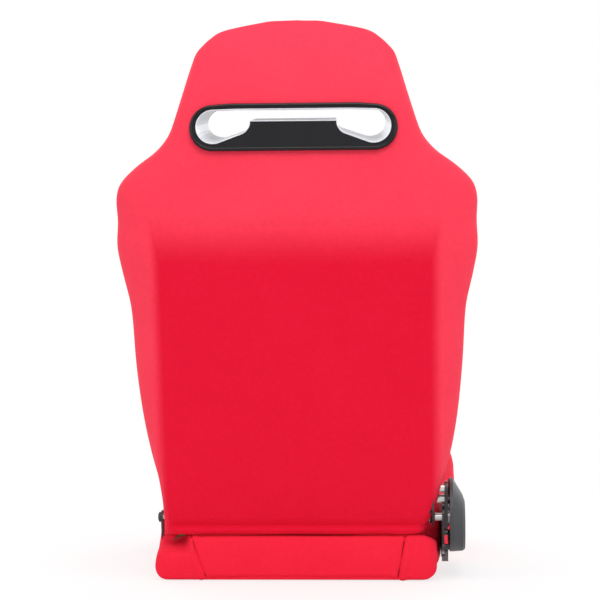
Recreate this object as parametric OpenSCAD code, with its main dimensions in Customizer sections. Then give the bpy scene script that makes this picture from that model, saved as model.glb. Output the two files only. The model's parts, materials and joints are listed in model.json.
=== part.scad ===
/* [Backrest] */
// Height of the backrest's hem above the mounting face
hem_h = 76; // [74:1:80]
// Height of the backrest's top above the mounting face
back_top_h = 868; // [850:1:890]
// Length of the head section, from the neck to the top
head_len = 166; // [160:1:172]
// Height from the widest point of the shoulders to the neck
neck_len = 104; // [100:1:108]
// Height from the bend of the back to the widest point of the shoulders
shoulder_len = 64; // [60:1:68]
// Height from the waist to the bend of the back
chest_len = 184; // [178:1:190]
// Distance of each side of the hem inside the side of the base
hem_side = 5; // [4.5:0.5:8]
// Width across the waist
waist_w = 504; // [488:1:510]
// Width across the shoulders
shoulder_w = 559; // [550:1:580]
// Width across the neck
neck_w = 373; // [372:1:390]
// Width across the head section near its top
head_w = 311; // [310:1:330]
// Distance of the flat panel of the lower back inside the side of the hem
panel_side = 11; // [9:1:15]
// Angle that the lower back leans from the vertical
back_lean = 13.8; // [13:0.1:14.5]
// Depth of the cushioning across the middle of the back
back_thick = 86; // [80:1:92]
// Thickness of the upholstery cloth with its backing
cloth_t = 2; // [1.5:0.1:2.2]

/* [Seat base] */
// Width of the base at its rear
base_rear_w = 444; // [440:1:445]
// Width of the base at its front
base_front_w = 500; // [480:1:510]
// Distance from the backrest pivot to the front edge of the base
base_reach = 478; // [465:1:490]
// Height of the thigh bolsters' crowns
thigh_h = 206; // [196:1:212]
// Height of the cushion's middle near its front edge
cushion_h = 150; // [142:1:156]
// Lowest edge of the base cover above the mounting face
cover_lift = 1; // [0.6:0.1:2]

/* [Mounting] */
// Distance of the mounting holes inside the side of the base
mount_side = 32; // [31:1:34]
// Spacing of the mounting holes along the seat
mount_y = 290; // [270:1:310]
// Radius of the mounting holes
mount_r = 4.25; // [4.1:0.05:4.5]
// Width of each mounting rail
rail_w = 30; // [28:1:31]
// Thickness of each mounting rail
rail_t = 4; // [3:0.5:5]
// Length of each mounting rail
rail_l = 400; // [380:1:410]

/* [Steel frame] */
// Radius of the backrest's hoop tube
hoop_r = 12.5; // [11:0.5:13]
// Wall of the frame tubes
tube_wall = 2; // [1.5:0.1:2.5]
// Distance of the hoop's uprights inside the side of the base
hoop_side = 27; // [27:1:30]
// Distance of the hoop's top below the widest point of the shoulders
hoop_drop = 47; // [40:1:60]
// Radius of the head hoop's tube
head_tube_r = 7; // [6:0.5:8]
// Wire radius of the flat springs
wire_r = 1.8; // [1.5:0.1:2]
// Number of elastic straps across the back
back_strap_n = 4; // [3:1:5]
// Number of flat springs along the base
base_spring_n = 4; // [3:1:5]
// Thickness of the stiff board behind the lower back
board_t = 4; // [3:0.5:5]

/* [Harness opening] */
// Half width of the black bezel
bezel_half_w = 157; // [150:1:160]
// Height of the black bezel
bezel_h = 69; // [66:1:72]
// Width of the bezel's rim round the opening
rim_w = 9; // [8:0.5:11]
// Height of the narrow slot between the two lobes
slot_h = 19; // [17:0.5:22]
// Height of the bezel's top edge above the neck
bezel_rise = 37; // [33:1:41]
// Wall of the tunnel liner
liner_wall = 2; // [1.6:0.1:2.4]

/* [Recliner] */
// Height of the backrest pivot above the mounting face
pivot_h = 95; // [94:0.5:96]
// Distance of the pivot behind the centre of the mounting holes
pivot_back = 235; // [225:1:245]
// Radius of the pivot bolts' shanks
pivot_r = 6; // [5:0.5:7]
// Outer radius of the toothed sector
sector_r = 45; // [44:0.5:46]
// Angle from one tooth to the next
tooth_pitch = 3; // [3:1:3]
// Depth of the teeth
tooth_h = 1.9; // [1.6:0.1:2.1]
// Number of teeth on the sector
sector_n = 40; // [39:1:42]
// Number of teeth on the pawl
pawl_n = 7; // [5:1:8]
// Thickness of the toothed plate and of the pawl
tooth_plate_t = 5; // [4:0.5:6]
// Angle that the lever lifts through
lever_lift = 28; // [24:1:30]
// Length of the release lever from its pivot to the tip of the grip
lever_l = 128; // [120:1:140]
// Thickness of the lever's steel
lever_t = 3; // [2.5:0.5:4]
// Depth of the plastic cover across the seat
shroud_d = 24; // [22:0.5:26]
// Wall of the plastic cover
shroud_wall = 2.5; // [2:0.1:3]
// Turns of the flat return spring
clock_turns = 3; // [2:1:3]

/* [Zip] */
// Half length of the zip under the hem
zip_half_l = 196; // [190:1:200]
// Width of the zip's tape
zip_w = 12; // [10:1:13]

/* [Hidden] */

gap = 0.3;            // clearance between soft solids
run_gap = 0.06;       // radial clearance of a shaft in its bore
part_gap = 0.2;       // clearance between plates that slide past each other
eps = 0.01;

// ---- smooth curve through [height, value] pairs ----
function slope(k, i) = let (a = max(i - 1, 0), b = min(i + 1, len(k) - 1))
  (k[b][1] - k[a][1]) / (k[b][0] - k[a][0]);
function span(k, s, i = 0) = i >= len(k) - 2 || s < k[i + 1][0] ? i : span(k, s, i + 1);
function smooth(k, s) =
  let (i = span(k, s), h = k[i + 1][0] - k[i][0], t = (s - k[i][0]) / h)
  (2 * t ^ 3 - 3 * t ^ 2 + 1) * k[i][1] + (t ^ 3 - 2 * t ^ 2 + t) * h * slope(k, i)
  + (3 * t ^ 2 - 2 * t ^ 3) * k[i + 1][1] + (t ^ 3 - t ^ 2) * h * slope(k, i + 1);

// ---- solid through a list of symmetrical rings with the same number of points ----
// an end is closed with strips between the two chains of each half of its ring
function cap_half(n) = let (last = n / 2) [for (j = [0 : floor((last - 1) / 2)])
  let (a = j, b = j + 1, c = last - 1 - j, d = last - j)
  each b < c ? [[a, b, c], [a, c, d]] : b == c ? [[a, b, d]] : []];
function cap(n) = concat(cap_half(n),
  [for (t = cap_half(n)) [(n - t[2]) % n, (n - t[1]) % n, (n - t[0]) % n]]);
module loft(rings) {
  n = len(rings[0]);
  m = len(rings);
  points = [for (r = rings) each r];
  walls = [for (j = [0 : m - 2], i = [0 : n - 1])
    let (a = j * n + i, b = j * n + (i + 1) % n)
    each [[a, b, b + n], [a, b + n, a + n]]];
  first = [for (t = cap(n)) [t[2], t[1], t[0]]];
  last = [for (t = cap(n)) [for (k = t) k + (m - 1) * n]];
  polyhedron(points, concat(walls, first, last));
}

// ring from one half, which runs between two points on the middle line; the shares widen or
// narrow the plain side and the recliner's side
function full_ring(half, plain = 1, recliner = 1) = concat(
  [for (p = half) [p[0] * plain, p[1], p[2]]],
  [for (i = [len(half) - 2 : -1 : 1]) [-half[i][0] * recliner, half[i][1], half[i][2]]]);

// ---- backrest form: heights above the mounting face, depths behind the pivot ----
neck_h = back_top_h - head_len;
shoulder_h = neck_h - neck_len;
bend_h = shoulder_h - shoulder_len;
waist_h = bend_h - chest_len;
low_h = lerp(hem_h, waist_h, 0.45);
mid_h = lerp(hem_h, waist_h, 0.82);
bezel_top_h = neck_h + bezel_rise;
hem_w = base_rear_w - 2 * hem_side;
panel_w = hem_w - 2 * panel_side;
hem_low = hem_h - 4;  // underside of the hem
rear_off = 53;        // from the pivot to the rear cloth, square to the lean
function lean_y(h) = (rear_off + (h - pivot_h) * sin(back_lean)) / cos(back_lean);
bend_y = lean_y(bend_h);

back_w_keys = [[hem_h - 4, hem_w / 2 - 5], [hem_h + 6, hem_w / 2], [hem_h + 50, hem_w / 2 + 4],
  [low_h - 24, hem_w / 2 + 12], [low_h + 44, hem_w / 2 + 24], [mid_h, waist_w / 2 - 4],
  [waist_h, waist_w / 2],
  [waist_h + 80, waist_w / 2 + 4], [waist_h + 130, waist_w / 2 + 15], [bend_h - 10, waist_w / 2 + 25],
  [shoulder_h - 34, shoulder_w / 2 - 3], [shoulder_h, shoulder_w / 2],
  [shoulder_h + 24, shoulder_w / 2 - 7], [shoulder_h + 50, shoulder_w / 2 - 34],
  [shoulder_h + 68, shoulder_w / 2 - 60], [neck_h - 16, neck_w / 2 + 14],
  [neck_h, neck_w / 2 + 5], [neck_h + 46, neck_w / 2 - 10], [back_top_h - 68, head_w / 2 + 6],
  [back_top_h - 48, head_w / 2 - 1], [back_top_h - 37, head_w / 2 - 10],
  [back_top_h - 25, head_w / 2 - 23], [back_top_h - 13, head_w / 2 - 44],
  [back_top_h, head_w / 2 - 108]];
// how much the recliner's side is drawn in beside the hem
relief_keys = [[hem_low, 25], [hem_h + 8, 23], [hem_h + 17, 18.5], [hem_h + 33, 9.5],
  [hem_h + 50, 2.5], [hem_h + 76, 0], [back_top_h, 0]];
rear_keys = [[hem_low, 38], [hem_h + 2, 49], [hem_h + 8, 49.5], [hem_h + 22, lean_y(hem_h + 22) - 1],
  [hem_h + 40, lean_y(hem_h + 40)], [low_h, lean_y(low_h)], [mid_h, lean_y(mid_h)],
  [waist_h + 50, lean_y(waist_h + 50)], [bend_h - 30, lean_y(bend_h - 30)],
  [bend_h + 12, bend_y + 1], [shoulder_h, bend_y + 8], [shoulder_h + 80, bend_y + 9],
  [neck_h + 45, bend_y + 1], [back_top_h - 65, bend_y - 14], [back_top_h - 25, bend_y - 32],
  [back_top_h, bend_y - 53]];
front_keys = [[hem_h - 4, -8], [hem_h + 4, -20], [hem_h + 18, -28], [hem_h + 54, -26],
  [low_h, lean_y(low_h) - back_thick - 3], [mid_h, lean_y(mid_h) - back_thick - 4],
  [waist_h + 50, lean_y(waist_h + 50) - back_thick], [bend_h, bend_y - back_thick + 6],
  [shoulder_h, bend_y - back_thick + 11], [shoulder_h + 80, bend_y - back_thick + 6],
  [neck_h + 45, bend_y - back_thick + 2], [back_top_h - 65, bend_y - back_thick],
  [back_top_h - 25, bend_y - back_thick + 9], [back_top_h, bend_y - 70]];
// how far the side bolsters stand in front of the middle
bolster_keys = [[hem_h - 4, 8], [hem_h + 18, 14], [hem_h + 54, 28], [low_h, 62],
  [(low_h + mid_h) / 2, 82], [mid_h, 96], [waist_h, 108], [waist_h + 80, 112],
  [bend_h - 30, 96], [shoulder_h - 20, 84], [shoulder_h + 30, 66], [neck_h - 30, 30],
  [neck_h + 8, 9], [back_top_h - 65, 12], [back_top_h, 3]];
// breadth of a bolster's rounded front
bolster_w_keys = [[hem_h - 4, 22], [hem_h + 54, 30], [low_h, 38], [waist_h, 46], [bend_h, 54],
  [shoulder_h, 60], [neck_h, 34], [back_top_h - 65, 26], [back_top_h, 14]];
// half width of the front's middle panel
centre_keys = [[hem_h - 4, 128], [low_h, 138], [waist_h, 150], [bend_h, 158], [shoulder_h, 162],
  [neck_h - 20, 128], [neck_h + 45, 116], [back_top_h - 60, 104], [back_top_h, 32]];
// half width of the flat rear panel
flat_keys = [[hem_h - 4, panel_w / 2 - 8], [hem_h + 24, panel_w / 2 - 6],
  [low_h, panel_w / 2], [waist_h + 50, panel_w / 2 + 4], [bend_h - 30, panel_w / 2 - 2],
  [shoulder_h, panel_w / 2 - 18], [neck_h - 40, 156], [neck_h + 42, 152],
  [back_top_h - 56, 112], [back_top_h, 28]];
// depth of the rounded edge between the rear and a side
edge_keys = [[hem_h - 4, 24], [hem_h + 54, 42], [low_h, 52], [bend_h, 62], [shoulder_h, 66],
  [neck_h, 44], [back_top_h - 45, 34], [back_top_h, 10]];
back_levels = [hem_low, hem_h, hem_h + 6, hem_h + 13, hem_h + 24, hem_h + 40, hem_h + 62,
  for (t = [0.42, 0.64, 0.86]) lerp(hem_h, waist_h, t), waist_h + 20, waist_h + 80,
  waist_h + 135, bend_h, shoulder_h - 30, shoulder_h, shoulder_h + 26, shoulder_h + 52,
  neck_h - 22, neck_h + 4, neck_h + 46, back_top_h - 66, back_top_h - 40, back_top_h - 22,
  back_top_h - 9, back_top_h];

// depth of the sewn channel beside a panel, which fades under the front bezel
channel_keys = [[hem_h - 4, 5], [hem_h + 54, 7], [neck_h - 50, 7], [neck_h - 18, 1.5],
  [neck_h + 46, 1.5], [back_top_h - 70, 6], [back_top_h, 3]];
crown_d = 8;          // crown of the middle panel
function back_half(h, i) =
  let (w = smooth(back_w_keys, h) - i, r = smooth(rear_keys, h) - i,
    f = smooth(front_keys, h) + i, tip = f - smooth(bolster_keys, h),
    bw = smooth(bolster_w_keys, h), c = smooth(centre_keys, h) + i,
    k = min(smooth(flat_keys, h), w - 18), e = smooth(edge_keys, h),
    top = w + i - bw, inner = top + i, ch = min(smooth(channel_keys, h), (r - f) / 6),
    cr = min(crown_d, (r - f) / 8))
  [[0, r], [k * 0.5, r], [k, r],
   each [for (a = [30 : 30 : 90]) [k + (w - k) * sin(a), r - e * (1 - cos(a))]],
   each [for (a = [25 : 32.5 : 90]) [top + (w - top) * cos(a), r - e - (r - e - tip) * sin(a)]],
   [lerp(inner, c, 0.35), lerp(tip, f + ch, 0.2)],
   [lerp(inner, c, 0.75), lerp(tip, f + ch, 0.72)],
   [c, f + ch], [c - 9, f - cr * 0.1], [c * 0.5, f - cr * 0.8], [0, f - cr]];
function lerp(a, b, t) = a + (b - a) * t;
turn_over = 30;       // height over which the top turns over
// the level is drawn in from the top by the cloth, and by the whole inset at the last ring, and
// let down at the hem by the drop
function back_level(h, i, drop) = h <= hem_h ? h - drop : h == back_top_h ? h - i
  : h > back_top_h - turn_over ? h - min(i, cloth_t) : h;
function back_rings(i, drop = 0, crown_gap = 0) = [for (h = back_levels)
  full_ring([for (p = back_half(h, h > back_top_h - turn_over ? i + crown_gap : i))
    [p[0], p[1] + pivot_back, back_level(h, i, drop)]],
    recliner = 1 - smooth(relief_keys, h) / smooth(back_w_keys, h))];

// ---- base form: stations along the seat, measured from the pivot towards the rear ----
rear_face = 46;       // base's rear face behind the pivot
plain_bulge = 10;     // bulge of the cushion over the plain hinge
base_w_keys = [[-base_reach, base_front_w / 2 - 40], [-base_reach + 14, base_front_w / 2 - 14],
  [-base_reach + 50, base_front_w / 2], [-300, base_front_w / 2 - 3], [-238, base_rear_w / 2 + 9],
  [-208, base_rear_w / 2 + 1], [-168, base_rear_w / 2], [-60, base_rear_w / 2],
  [rear_face - 14, base_rear_w / 2], [rear_face - 5, base_rear_w / 2 - 2],
  [rear_face, base_rear_w / 2 - 8]];
// how much the cushion bulges over the plain hinge
bulge_keys = [[-base_reach, 0], [-330, 0], [-168, plain_bulge], [rear_face, plain_bulge]];
crown_keys = [[-base_reach, 108], [-base_reach + 14, 142], [-base_reach + 50, thigh_h - 28],
  [-340, thigh_h - 4], [-270, thigh_h], [-200, thigh_h - 13], [-150, 158], [-119, 134],
  [-79, 98], [-50, 74], [-30, 60.5], [-12, 53], [0, 46], [rear_face - 36, 40.5],
  [rear_face - 26, 42.5], [rear_face - 18, 45], [rear_face - 10, 47.5], [rear_face - 3.5, 49.5],
  [rear_face, 46]];
seat_keys = [[-base_reach, 104], [-base_reach + 14, 136], [-base_reach + 50, cushion_h],
  [-340, cushion_h - 10], [-250, cushion_h - 26], [-150, 110], [-100, 94], [-60, 74], [-30, 57],
  [-12, 48], [0, 42], [rear_face - 36, 38.5], [rear_face - 26, 40.5], [rear_face - 18, 43],
  [rear_face - 10, 45.5], [rear_face - 3.5, 47.5], [rear_face, 44]];
thigh_w_keys = [[-base_reach, 40], [-340, 64], [-200, 60], [-60, 34], [rear_face, 24]];
base_stations = [-base_reach, -base_reach + 6, -base_reach + 18, -base_reach + 44, -390, -330,
  -270, -205, -150, -105, -70, -42, -18, 0, rear_face - 36, rear_face - 26, rear_face - 17,
  rear_face - 9, rear_face - 3.5, rear_face];
base_centre = 150;    // half width of the cushion's middle panel
seat_channel = 7;     // depth of the sewn channel beside it
function base_half(s, i) =
  let (w = smooth(base_w_keys, s) - i, h = smooth(crown_keys, s) - i,
    m = smooth(seat_keys, s) - i, tw = smooth(thigh_w_keys, s), c = base_centre + i,
    top = w + i - tw * 0.68, z0 = cover_lift, ch = min(seat_channel, m / 8), rise = max(h, 20),
    cr = crown_d * min(1, max(0.25, -s / 60)))
  [[0, z0], [w * 0.5, z0], [w - 16, z0], [w - 6, z0 + 4], [w - 2, z0 + 13],
   [w, lerp(z0, rise, 0.42)], [w - tw * 0.06, lerp(z0, rise, 0.72)],
   each [for (a = [30 : 30 : 90]) [top + (w - tw * 0.06 - top) * cos(a),
     lerp(lerp(z0, rise, 0.72), h, sin(a))]],
   [lerp(top + i, c, 0.4), lerp(h, m - ch, 0.22)],
   [lerp(top + i, c, 0.78), lerp(h, m - ch, 0.75)],
   [c, m - ch], [c - 10, m], [c * 0.5, m + cr * 0.7], [0, m + cr]];
function base_shift(s, i) = s > 0 ? s - i : s < -base_reach + 5 ? s + i : s;
function base_rings(i, drop = 0) = [for (s = base_stations)
  full_ring([for (p = base_half(s, i))
    [p[0], pivot_back + base_shift(s, i), p[1] < 12 ? p[1] - drop : p[1]]],
    plain = 1 + smooth(bulge_keys, s) / smooth(base_w_keys, s))];

// ---- tubes and wires bent in one plane, through corner points, with round bends ----
function unit(v) = v / norm(v);
function turn(a, b, c) = let (u = unit(b - a), v = unit(c - b))
  atan2(u[0] * v[1] - u[1] * v[0], u * v);
module tube_face(r, wall) {
  difference() {
    circle(r, $fn = 48);
    if (wall > 0) circle(r - wall, $fn = 48);
  }
}
module bent_tube(p, r, bend, wall = 0) {
  n = len(p);
  trim = [for (i = [0 : n - 1]) i == 0 || i == n - 1 ? 0
    : bend * tan(abs(turn(p[i - 1], p[i], p[i + 1])) / 2)];
  for (i = [0 : n - 2]) {
    d = p[i + 1] - p[i];
    u = unit(d);
    a = p[i] + u * trim[i];
    translate([a[0], a[1], 0]) rotate([0, 0, atan2(u[1], u[0])]) rotate([0, 90, 0])
      linear_extrude(norm(d) - trim[i] - trim[i + 1]) tube_face(r, wall);
  }
  for (i = [1 : n - 2]) {
    t = turn(p[i - 1], p[i], p[i + 1]);
    u = unit(p[i] - p[i - 1]);
    s = p[i] - u * trim[i];
    side = t > 0 ? 1 : -1;
    c = s + side * bend * [-u[1], u[0]];
    from = atan2(s[1] - c[1], s[0] - c[0]);
    translate([c[0], c[1], 0]) rotate([0, 0, t > 0 ? from : from + t])
      rotate_extrude(angle = abs(t), $fn = 72) translate([bend, 0]) tube_face(r, wall);
  }
}

// ---- places ----
module at_pivot() { translate([0, pivot_back, pivot_h]) children(); }
// X across, Y square to the leaning back, Z along it, from the pivot
module on_back() { at_pivot() rotate([-back_lean, 0, 0]) children(); }
// draws a profile given in (depth, height) round the pivot as a plate across X
module side_plate(x, t) {
  at_pivot() translate([x, 0, 0]) rotate([90, 0, 90]) linear_extrude(t) children();
}
// the same on the recliner's side, outwards from a distance beside the middle
module recliner_plate(out, t) { side_plate(-out - t, t) children(); }
module side_hole(p, r, from, to) {
  at_pivot() translate([from, p[0], p[1]]) rotate([0, 90, 0])
    cylinder(h = to - from, r = r, $fn = 48);
}

// ---- layers of the recliner, as distances from the seat's middle ----
rail_x = base_rear_w / 2 - mount_side;
hoop_x = base_rear_w / 2 - hoop_side;
frame_plate_out = hoop_x + hoop_r + 2;             // outer face of the frame's side plates
plate_in = base_rear_w / 2 + 1;                    // recliner base plate, inner face
plate_t = 3.5;
tooth_in = plate_in + plate_t + part_gap;          // toothed layer
tooth_out = tooth_in + tooth_plate_t;
lever_in = tooth_out + 1;                          // lever layer
lever_out = lever_in + lever_t;
shroud_in = tooth_out + 3;                         // inner edge of the plastic cover
shroud_out = shroud_in + shroud_d;

// ---- recliner lay-out round the pivot, as (depth, height) ----
contact_a = 150;                                   // direction of the middle pawl tooth
contact = polar(sector_r, contact_a);
pawl_arm = 32;
pawl_p = contact + polar(pawl_arm, contact_a + 90);
lever_a = 200;                                     // direction from the pawl to the lever
lever_d = 27.8;
lever_p = pawl_p + polar(lever_d, lever_a);
drive_r = 9;                                       // lever pivot to the drive pin
drive_a = lever_a + 180 + lever_lift / 2;
drive_pin = lever_p + polar(drive_r, drive_a);
drive_pin_r = 2.5;
slot_gap = 0.16;      // beside the drive pin in the pawl's slot
slot_a = atan2(drive_pin[1] - pawl_p[1], drive_pin[0] - pawl_p[0]);
slot_d = norm(drive_pin - pawl_p);
pin_r = 5;                                         // pawl and lever pins
sector_from = 108;                                 // first tooth of the sector at rest
spacer_p = [[10, 30], [22, 48]];                   // spacers between sector plate and frame
left_t = 2.8;
left_low = base_rear_w / 2 - cloth_t - left_t - 2.8;   // plain hinge's plate inside the cover
left_in = base_rear_w / 2 - cloth_t;                   // and its ear beside the backrest
left_foot_p = [[-40, -70], [-78, -70]];
foot_p = [[-98, -66], [-150, -64]];                // spacers between base plate and frame
shroud_p = [[-106, 12.5], [-124, -40], [12, -46]];    // screw posts of the plastic cover

/* modules: mounting */
module mount_holes(r, z, h) {
  for (x = [-rail_x, rail_x], y = [-mount_y / 2, mount_y / 2])
    translate([x, y, z]) cylinder(h = h, r = r, $fn = 48);
}
module mount_rails() {
  color("dimgray") difference() {
    for (s = [-1, 1]) translate([s * rail_x, 0, 0]) linear_extrude(rail_t) difference() {
      square([rail_w, rail_l], center = true);
      for (c = [-1, 1], e = [-1, 1]) translate([c * rail_w / 2, e * rail_l / 2]) rotate(45)
        square(8, center = true);
    }
    mount_holes(mount_r, -1, rail_t + 2);
  }
}
nut_h = 6.5;
module weld_nuts() {
  color("silver") difference() {
    for (x = [-rail_x, rail_x], y = [-mount_y / 2, mount_y / 2])
      translate([x, y, rail_t]) cylinder(h = nut_h, r = 7.5, $fn = 6);
    mount_holes(mount_r, rail_t - 1, nut_h + 2);
  }
}

/* modules: base frame */
member_w = 22;        // width of a side member
member_h = 34;        // height of a side member
member_x = rail_x;    // middle of a side member
member_front = -base_reach + 46;
member_rear = -16;
cross_r = 10;
cross_z = rail_t + member_h - cross_r - 2;
cross_ys = [member_front + 22, -60];
module base_frame() {
  color("dimgray") difference() {
    for (s = [-1, 1]) translate([s * member_x - member_w / 2, pivot_back + member_front, rail_t])
      cube([member_w, member_rear - member_front, member_h]);
    for (s = [-1, 1]) translate([s * member_x - member_w / 2 + tube_wall,
      pivot_back + member_front - 1, rail_t + tube_wall])
      cube([member_w - 2 * tube_wall, member_rear - member_front + 2, member_h - 2 * tube_wall]);
    for (x = [-rail_x, rail_x], y = [-mount_y / 2, mount_y / 2])
      translate([x, y, rail_t - 1]) cylinder(h = 4, r = 9, $fn = 48);
    for (p = foot_p) side_hole(p, 4.2, -plate_in, -member_x);
    for (p = left_foot_p) side_hole(p, 4.2, member_x, plate_in);
  }
}
// welded between the two side members
module cross_tubes() {
  cross_l = 2 * member_x - member_w;
  color("dimgray") for (y = cross_ys) translate([-cross_l / 2, pivot_back + y, cross_z])
    rotate([0, 90, 0]) difference() {
      cylinder(h = cross_l, r = cross_r, $fn = 48);
      translate([0, 0, -1]) cylinder(h = cross_l + 2, r = cross_r - tube_wall, $fn = 48);
    }
}
base_spring_from = cross_ys[1] - cross_r - wire_r - part_gap;
base_spring_l = base_spring_from - cross_ys[0] - cross_r - wire_r - part_gap;
base_spring_pitch = (2 * member_x - 2 * member_w) / base_spring_n;
wave_n = 9;
wave_w = 20;
// flat serpentine along X whose loops lean over each other a little
function wave(l, s) = [l * s - 3.4 * sin(wave_n * 360 * s), wave_w * sin(wave_n * 180 * s)];
function wave_path(l) = [for (i = [0 : wave_n * 5]) wave(l, i / wave_n / 5)];
// wire of six sides along a path in the XY plane, mitred at its points
module wire(p, r) {
  n = len(p);
  rings = [for (i = [0 : n - 1])
    let (u = unit(p[i] - p[max(i - 1, 0)] + (i == 0 ? p[1] - p[0] : [0, 0])),
      v = unit(p[min(i + 1, n - 1)] - p[i] + (i == n - 1 ? p[i] - p[i - 1] : [0, 0])),
      m = unit(u + v), k = r / (m * u))
    [for (a = [0 : 60 : 300])
      [p[i][0] - m[1] * k * cos(a), p[i][1] + m[0] * k * cos(a), r * sin(a)]]];
  points = [for (q = rings) each q];
  walls = [for (j = [0 : n - 2], i = [0 : 5]) let (a = j * 6 + i, b = j * 6 + (i + 1) % 6)
    each [[a, b + 6, b], [a, a + 6, b + 6]]];
  ends = [for (i = [1 : 4]) each [[0, i, i + 1],
    [(n - 1) * 6, (n - 1) * 6 + i + 1, (n - 1) * 6 + i]]];
  polyhedron(points, concat(walls, ends));
}
module base_springs() {
  color("gray") for (i = [0 : base_spring_n - 1])
    translate([(i - (base_spring_n - 1) / 2) * base_spring_pitch,
      pivot_back + base_spring_from, cross_z])
      rotate([0, 0, -90]) wire(wave_path(base_spring_l), wire_r);
}

/* modules: base upholstery */
pocket_half = member_x + member_w / 2 + 0.6;
pocket_h = rail_t + member_h + 1.5;
module base_pocket() {
  translate([-pocket_half, pivot_back + member_front - 1.5, -5])
    cube([2 * pocket_half, member_rear + 3.5 - member_front, 5 + pocket_h]);
  for (s = [-1, 1]) translate([s * rail_x - rail_w / 2 - 0.6, -rail_l / 2 - 0.6, -5])
    cube([rail_w + 1.2, rail_l + 1.2, 5 + rail_t + 0.3]);
}
module base_foam() {
  color("khaki") difference() {
    loft(base_rings(cloth_t + gap));
    base_pocket();
    for (p = foot_p) side_hole(p, 7.6, -plate_in - 2, -pocket_half + 2);
    left_plate_slot();
  }
}
module left_plate_slot() {
  at_pivot() translate([left_low - 0.2, -92, -86]) cube([plain_bulge + 14, 122, 100]);
  for (p = left_foot_p) side_hole(p, 7.6, pocket_half - 2, left_low + 1);
}
module base_cover() {
  color("crimson") difference() {
    loft(base_rings(0));
    loft(base_rings(cloth_t, 8));
    for (p = foot_p) side_hole(p, 7.6, -plate_in - 2, -pocket_half + 2);
    // slot for the plain hinge's plate
    at_pivot() translate([left_low - 0.5, -31, -64]) cube([left_t + 1, 37, 64]);
    at_pivot() translate([left_low - 0.5, -16.5, -54.5])
      cube([left_in + left_t - left_low + 1, 20, 60]);
  }
}

/* modules: recliner, fixed side */
module dot(p, r, n = 64) { translate(p) circle(r, $fn = n); }
module recliner_base_plate() {
  color("silver") recliner_plate(plate_in, plate_t) difference() {
    union() {
      hull() { dot([0, 0], 20); dot([-6, -38], 14); }
      hull() { dot([-6, -38], 14); dot(foot_p[0], 11); dot(foot_p[1], 11); dot([-100, -38], 16); }
      hull() { dot(pawl_p, 11); dot(lever_p, 13); dot([-60, -40], 12); dot([-100, -38], 16); }
      hull() { dot(lever_p, 13); dot(shroud_p[0], 8); dot([-110, -30], 14); }
      hull() { dot([-6, -36], 12); dot(shroud_p[2], 7); }
    }
    dot([0, 0], pivot_r + run_gap);
    dot(pawl_p, pin_r);
    dot(lever_p, pin_r);
    for (p = foot_p) dot(p, 4.2);
    for (p = shroud_p) dot(p, 2.1);
  }
}
module base_plate_spacers() {
  color("silver") {
    for (p = foot_p) spacer(p, -plate_in, -member_x - member_w / 2);
    for (p = left_foot_p) spacer(p, member_x + member_w / 2, left_low);
  }
}
module spacer(p, from, to) {
  difference() {
    side_hole(p, 7, from, to);
    side_hole(p, 4.2, from - 1, to + 1);
  }
}
// hexagon head with a plain shank, its head on the side that points along +X
module bolt(p, head_x, shank_l, r, head_h) {
  at_pivot() translate([head_x, p[0], p[1]]) rotate([0, 90, 0]) {
    cylinder(h = head_h, r = r * 1.85, $fn = 6);
    translate([0, 0, -shank_l]) cylinder(h = shank_l, r = r, $fn = 48);
  }
}
bolt_r = 4;
module base_plate_bolts() {
  color("gray") {
    for (p = foot_p) mirror([1, 0, 0])
      bolt(p, plate_in + plate_t, plate_in + plate_t - member_x - member_w / 2 + 6, bolt_r, 2.6);
    for (p = left_foot_p) mirror([1, 0, 0]) bolt(p, -member_x - member_w / 2 + tube_wall,
      left_low + left_t - member_x - member_w / 2 + tube_wall, bolt_r, 4);
  }
}
pivot_head_h = 4;
module recliner_pivot_bolt() {
  color("silver") at_pivot() rotate([0, -90, 0]) {
    translate([0, 0, frame_plate_out - 9])
      cylinder(h = tooth_out + part_gap - frame_plate_out + 9, r = pivot_r, $fn = 48);
    translate([0, 0, frame_plate_out - 9]) cylinder(h = 3, r = pivot_r + 4, $fn = 6);
    difference() {
      translate([0, 0, tooth_out + part_gap]) union() {
        cylinder(h = 3, r = pivot_r + 4, $fn = 64);
        translate([0, 0, 3]) cylinder(h = clock_w + 3, r = pivot_r + 1, $fn = 64);
      }
      translate([-0.75, -20, tooth_out + part_gap + 3]) cube([1.5, 40, clock_w + 10]);
    }
  }
}
module stepped_pin(p, to, head_r) {
  at_pivot() translate([-plate_in, p[0], p[1]]) rotate([0, -90, 0]) {
    cylinder(h = plate_t, r = pin_r, $fn = 48);
    translate([0, 0, plate_t]) cylinder(h = to - plate_in - plate_t, r = pin_r - 1, $fn = 48);
    translate([0, 0, to - plate_in]) cylinder(h = 2, r = head_r, $fn = 48);
  }
}
module pawl_pin() { color("silver") stepped_pin(pawl_p, tooth_out + part_gap, 7); }
module lever_pin() { color("silver") stepped_pin(lever_p, lever_out + spring_coil_l + 1, 6.5); }

/* modules: recliner cover */
module shroud_outline(inset = 0, drop = 0) {
  hull() {
    dot([2, 4 - drop], 58 - inset - drop, 40);
    dot([-44, -drop], 56 - inset - drop, 40);
    dot([-112, -16], 38 - inset, 40);
    dot([-128, -30], 26 - inset, 40);
  }
}
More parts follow.
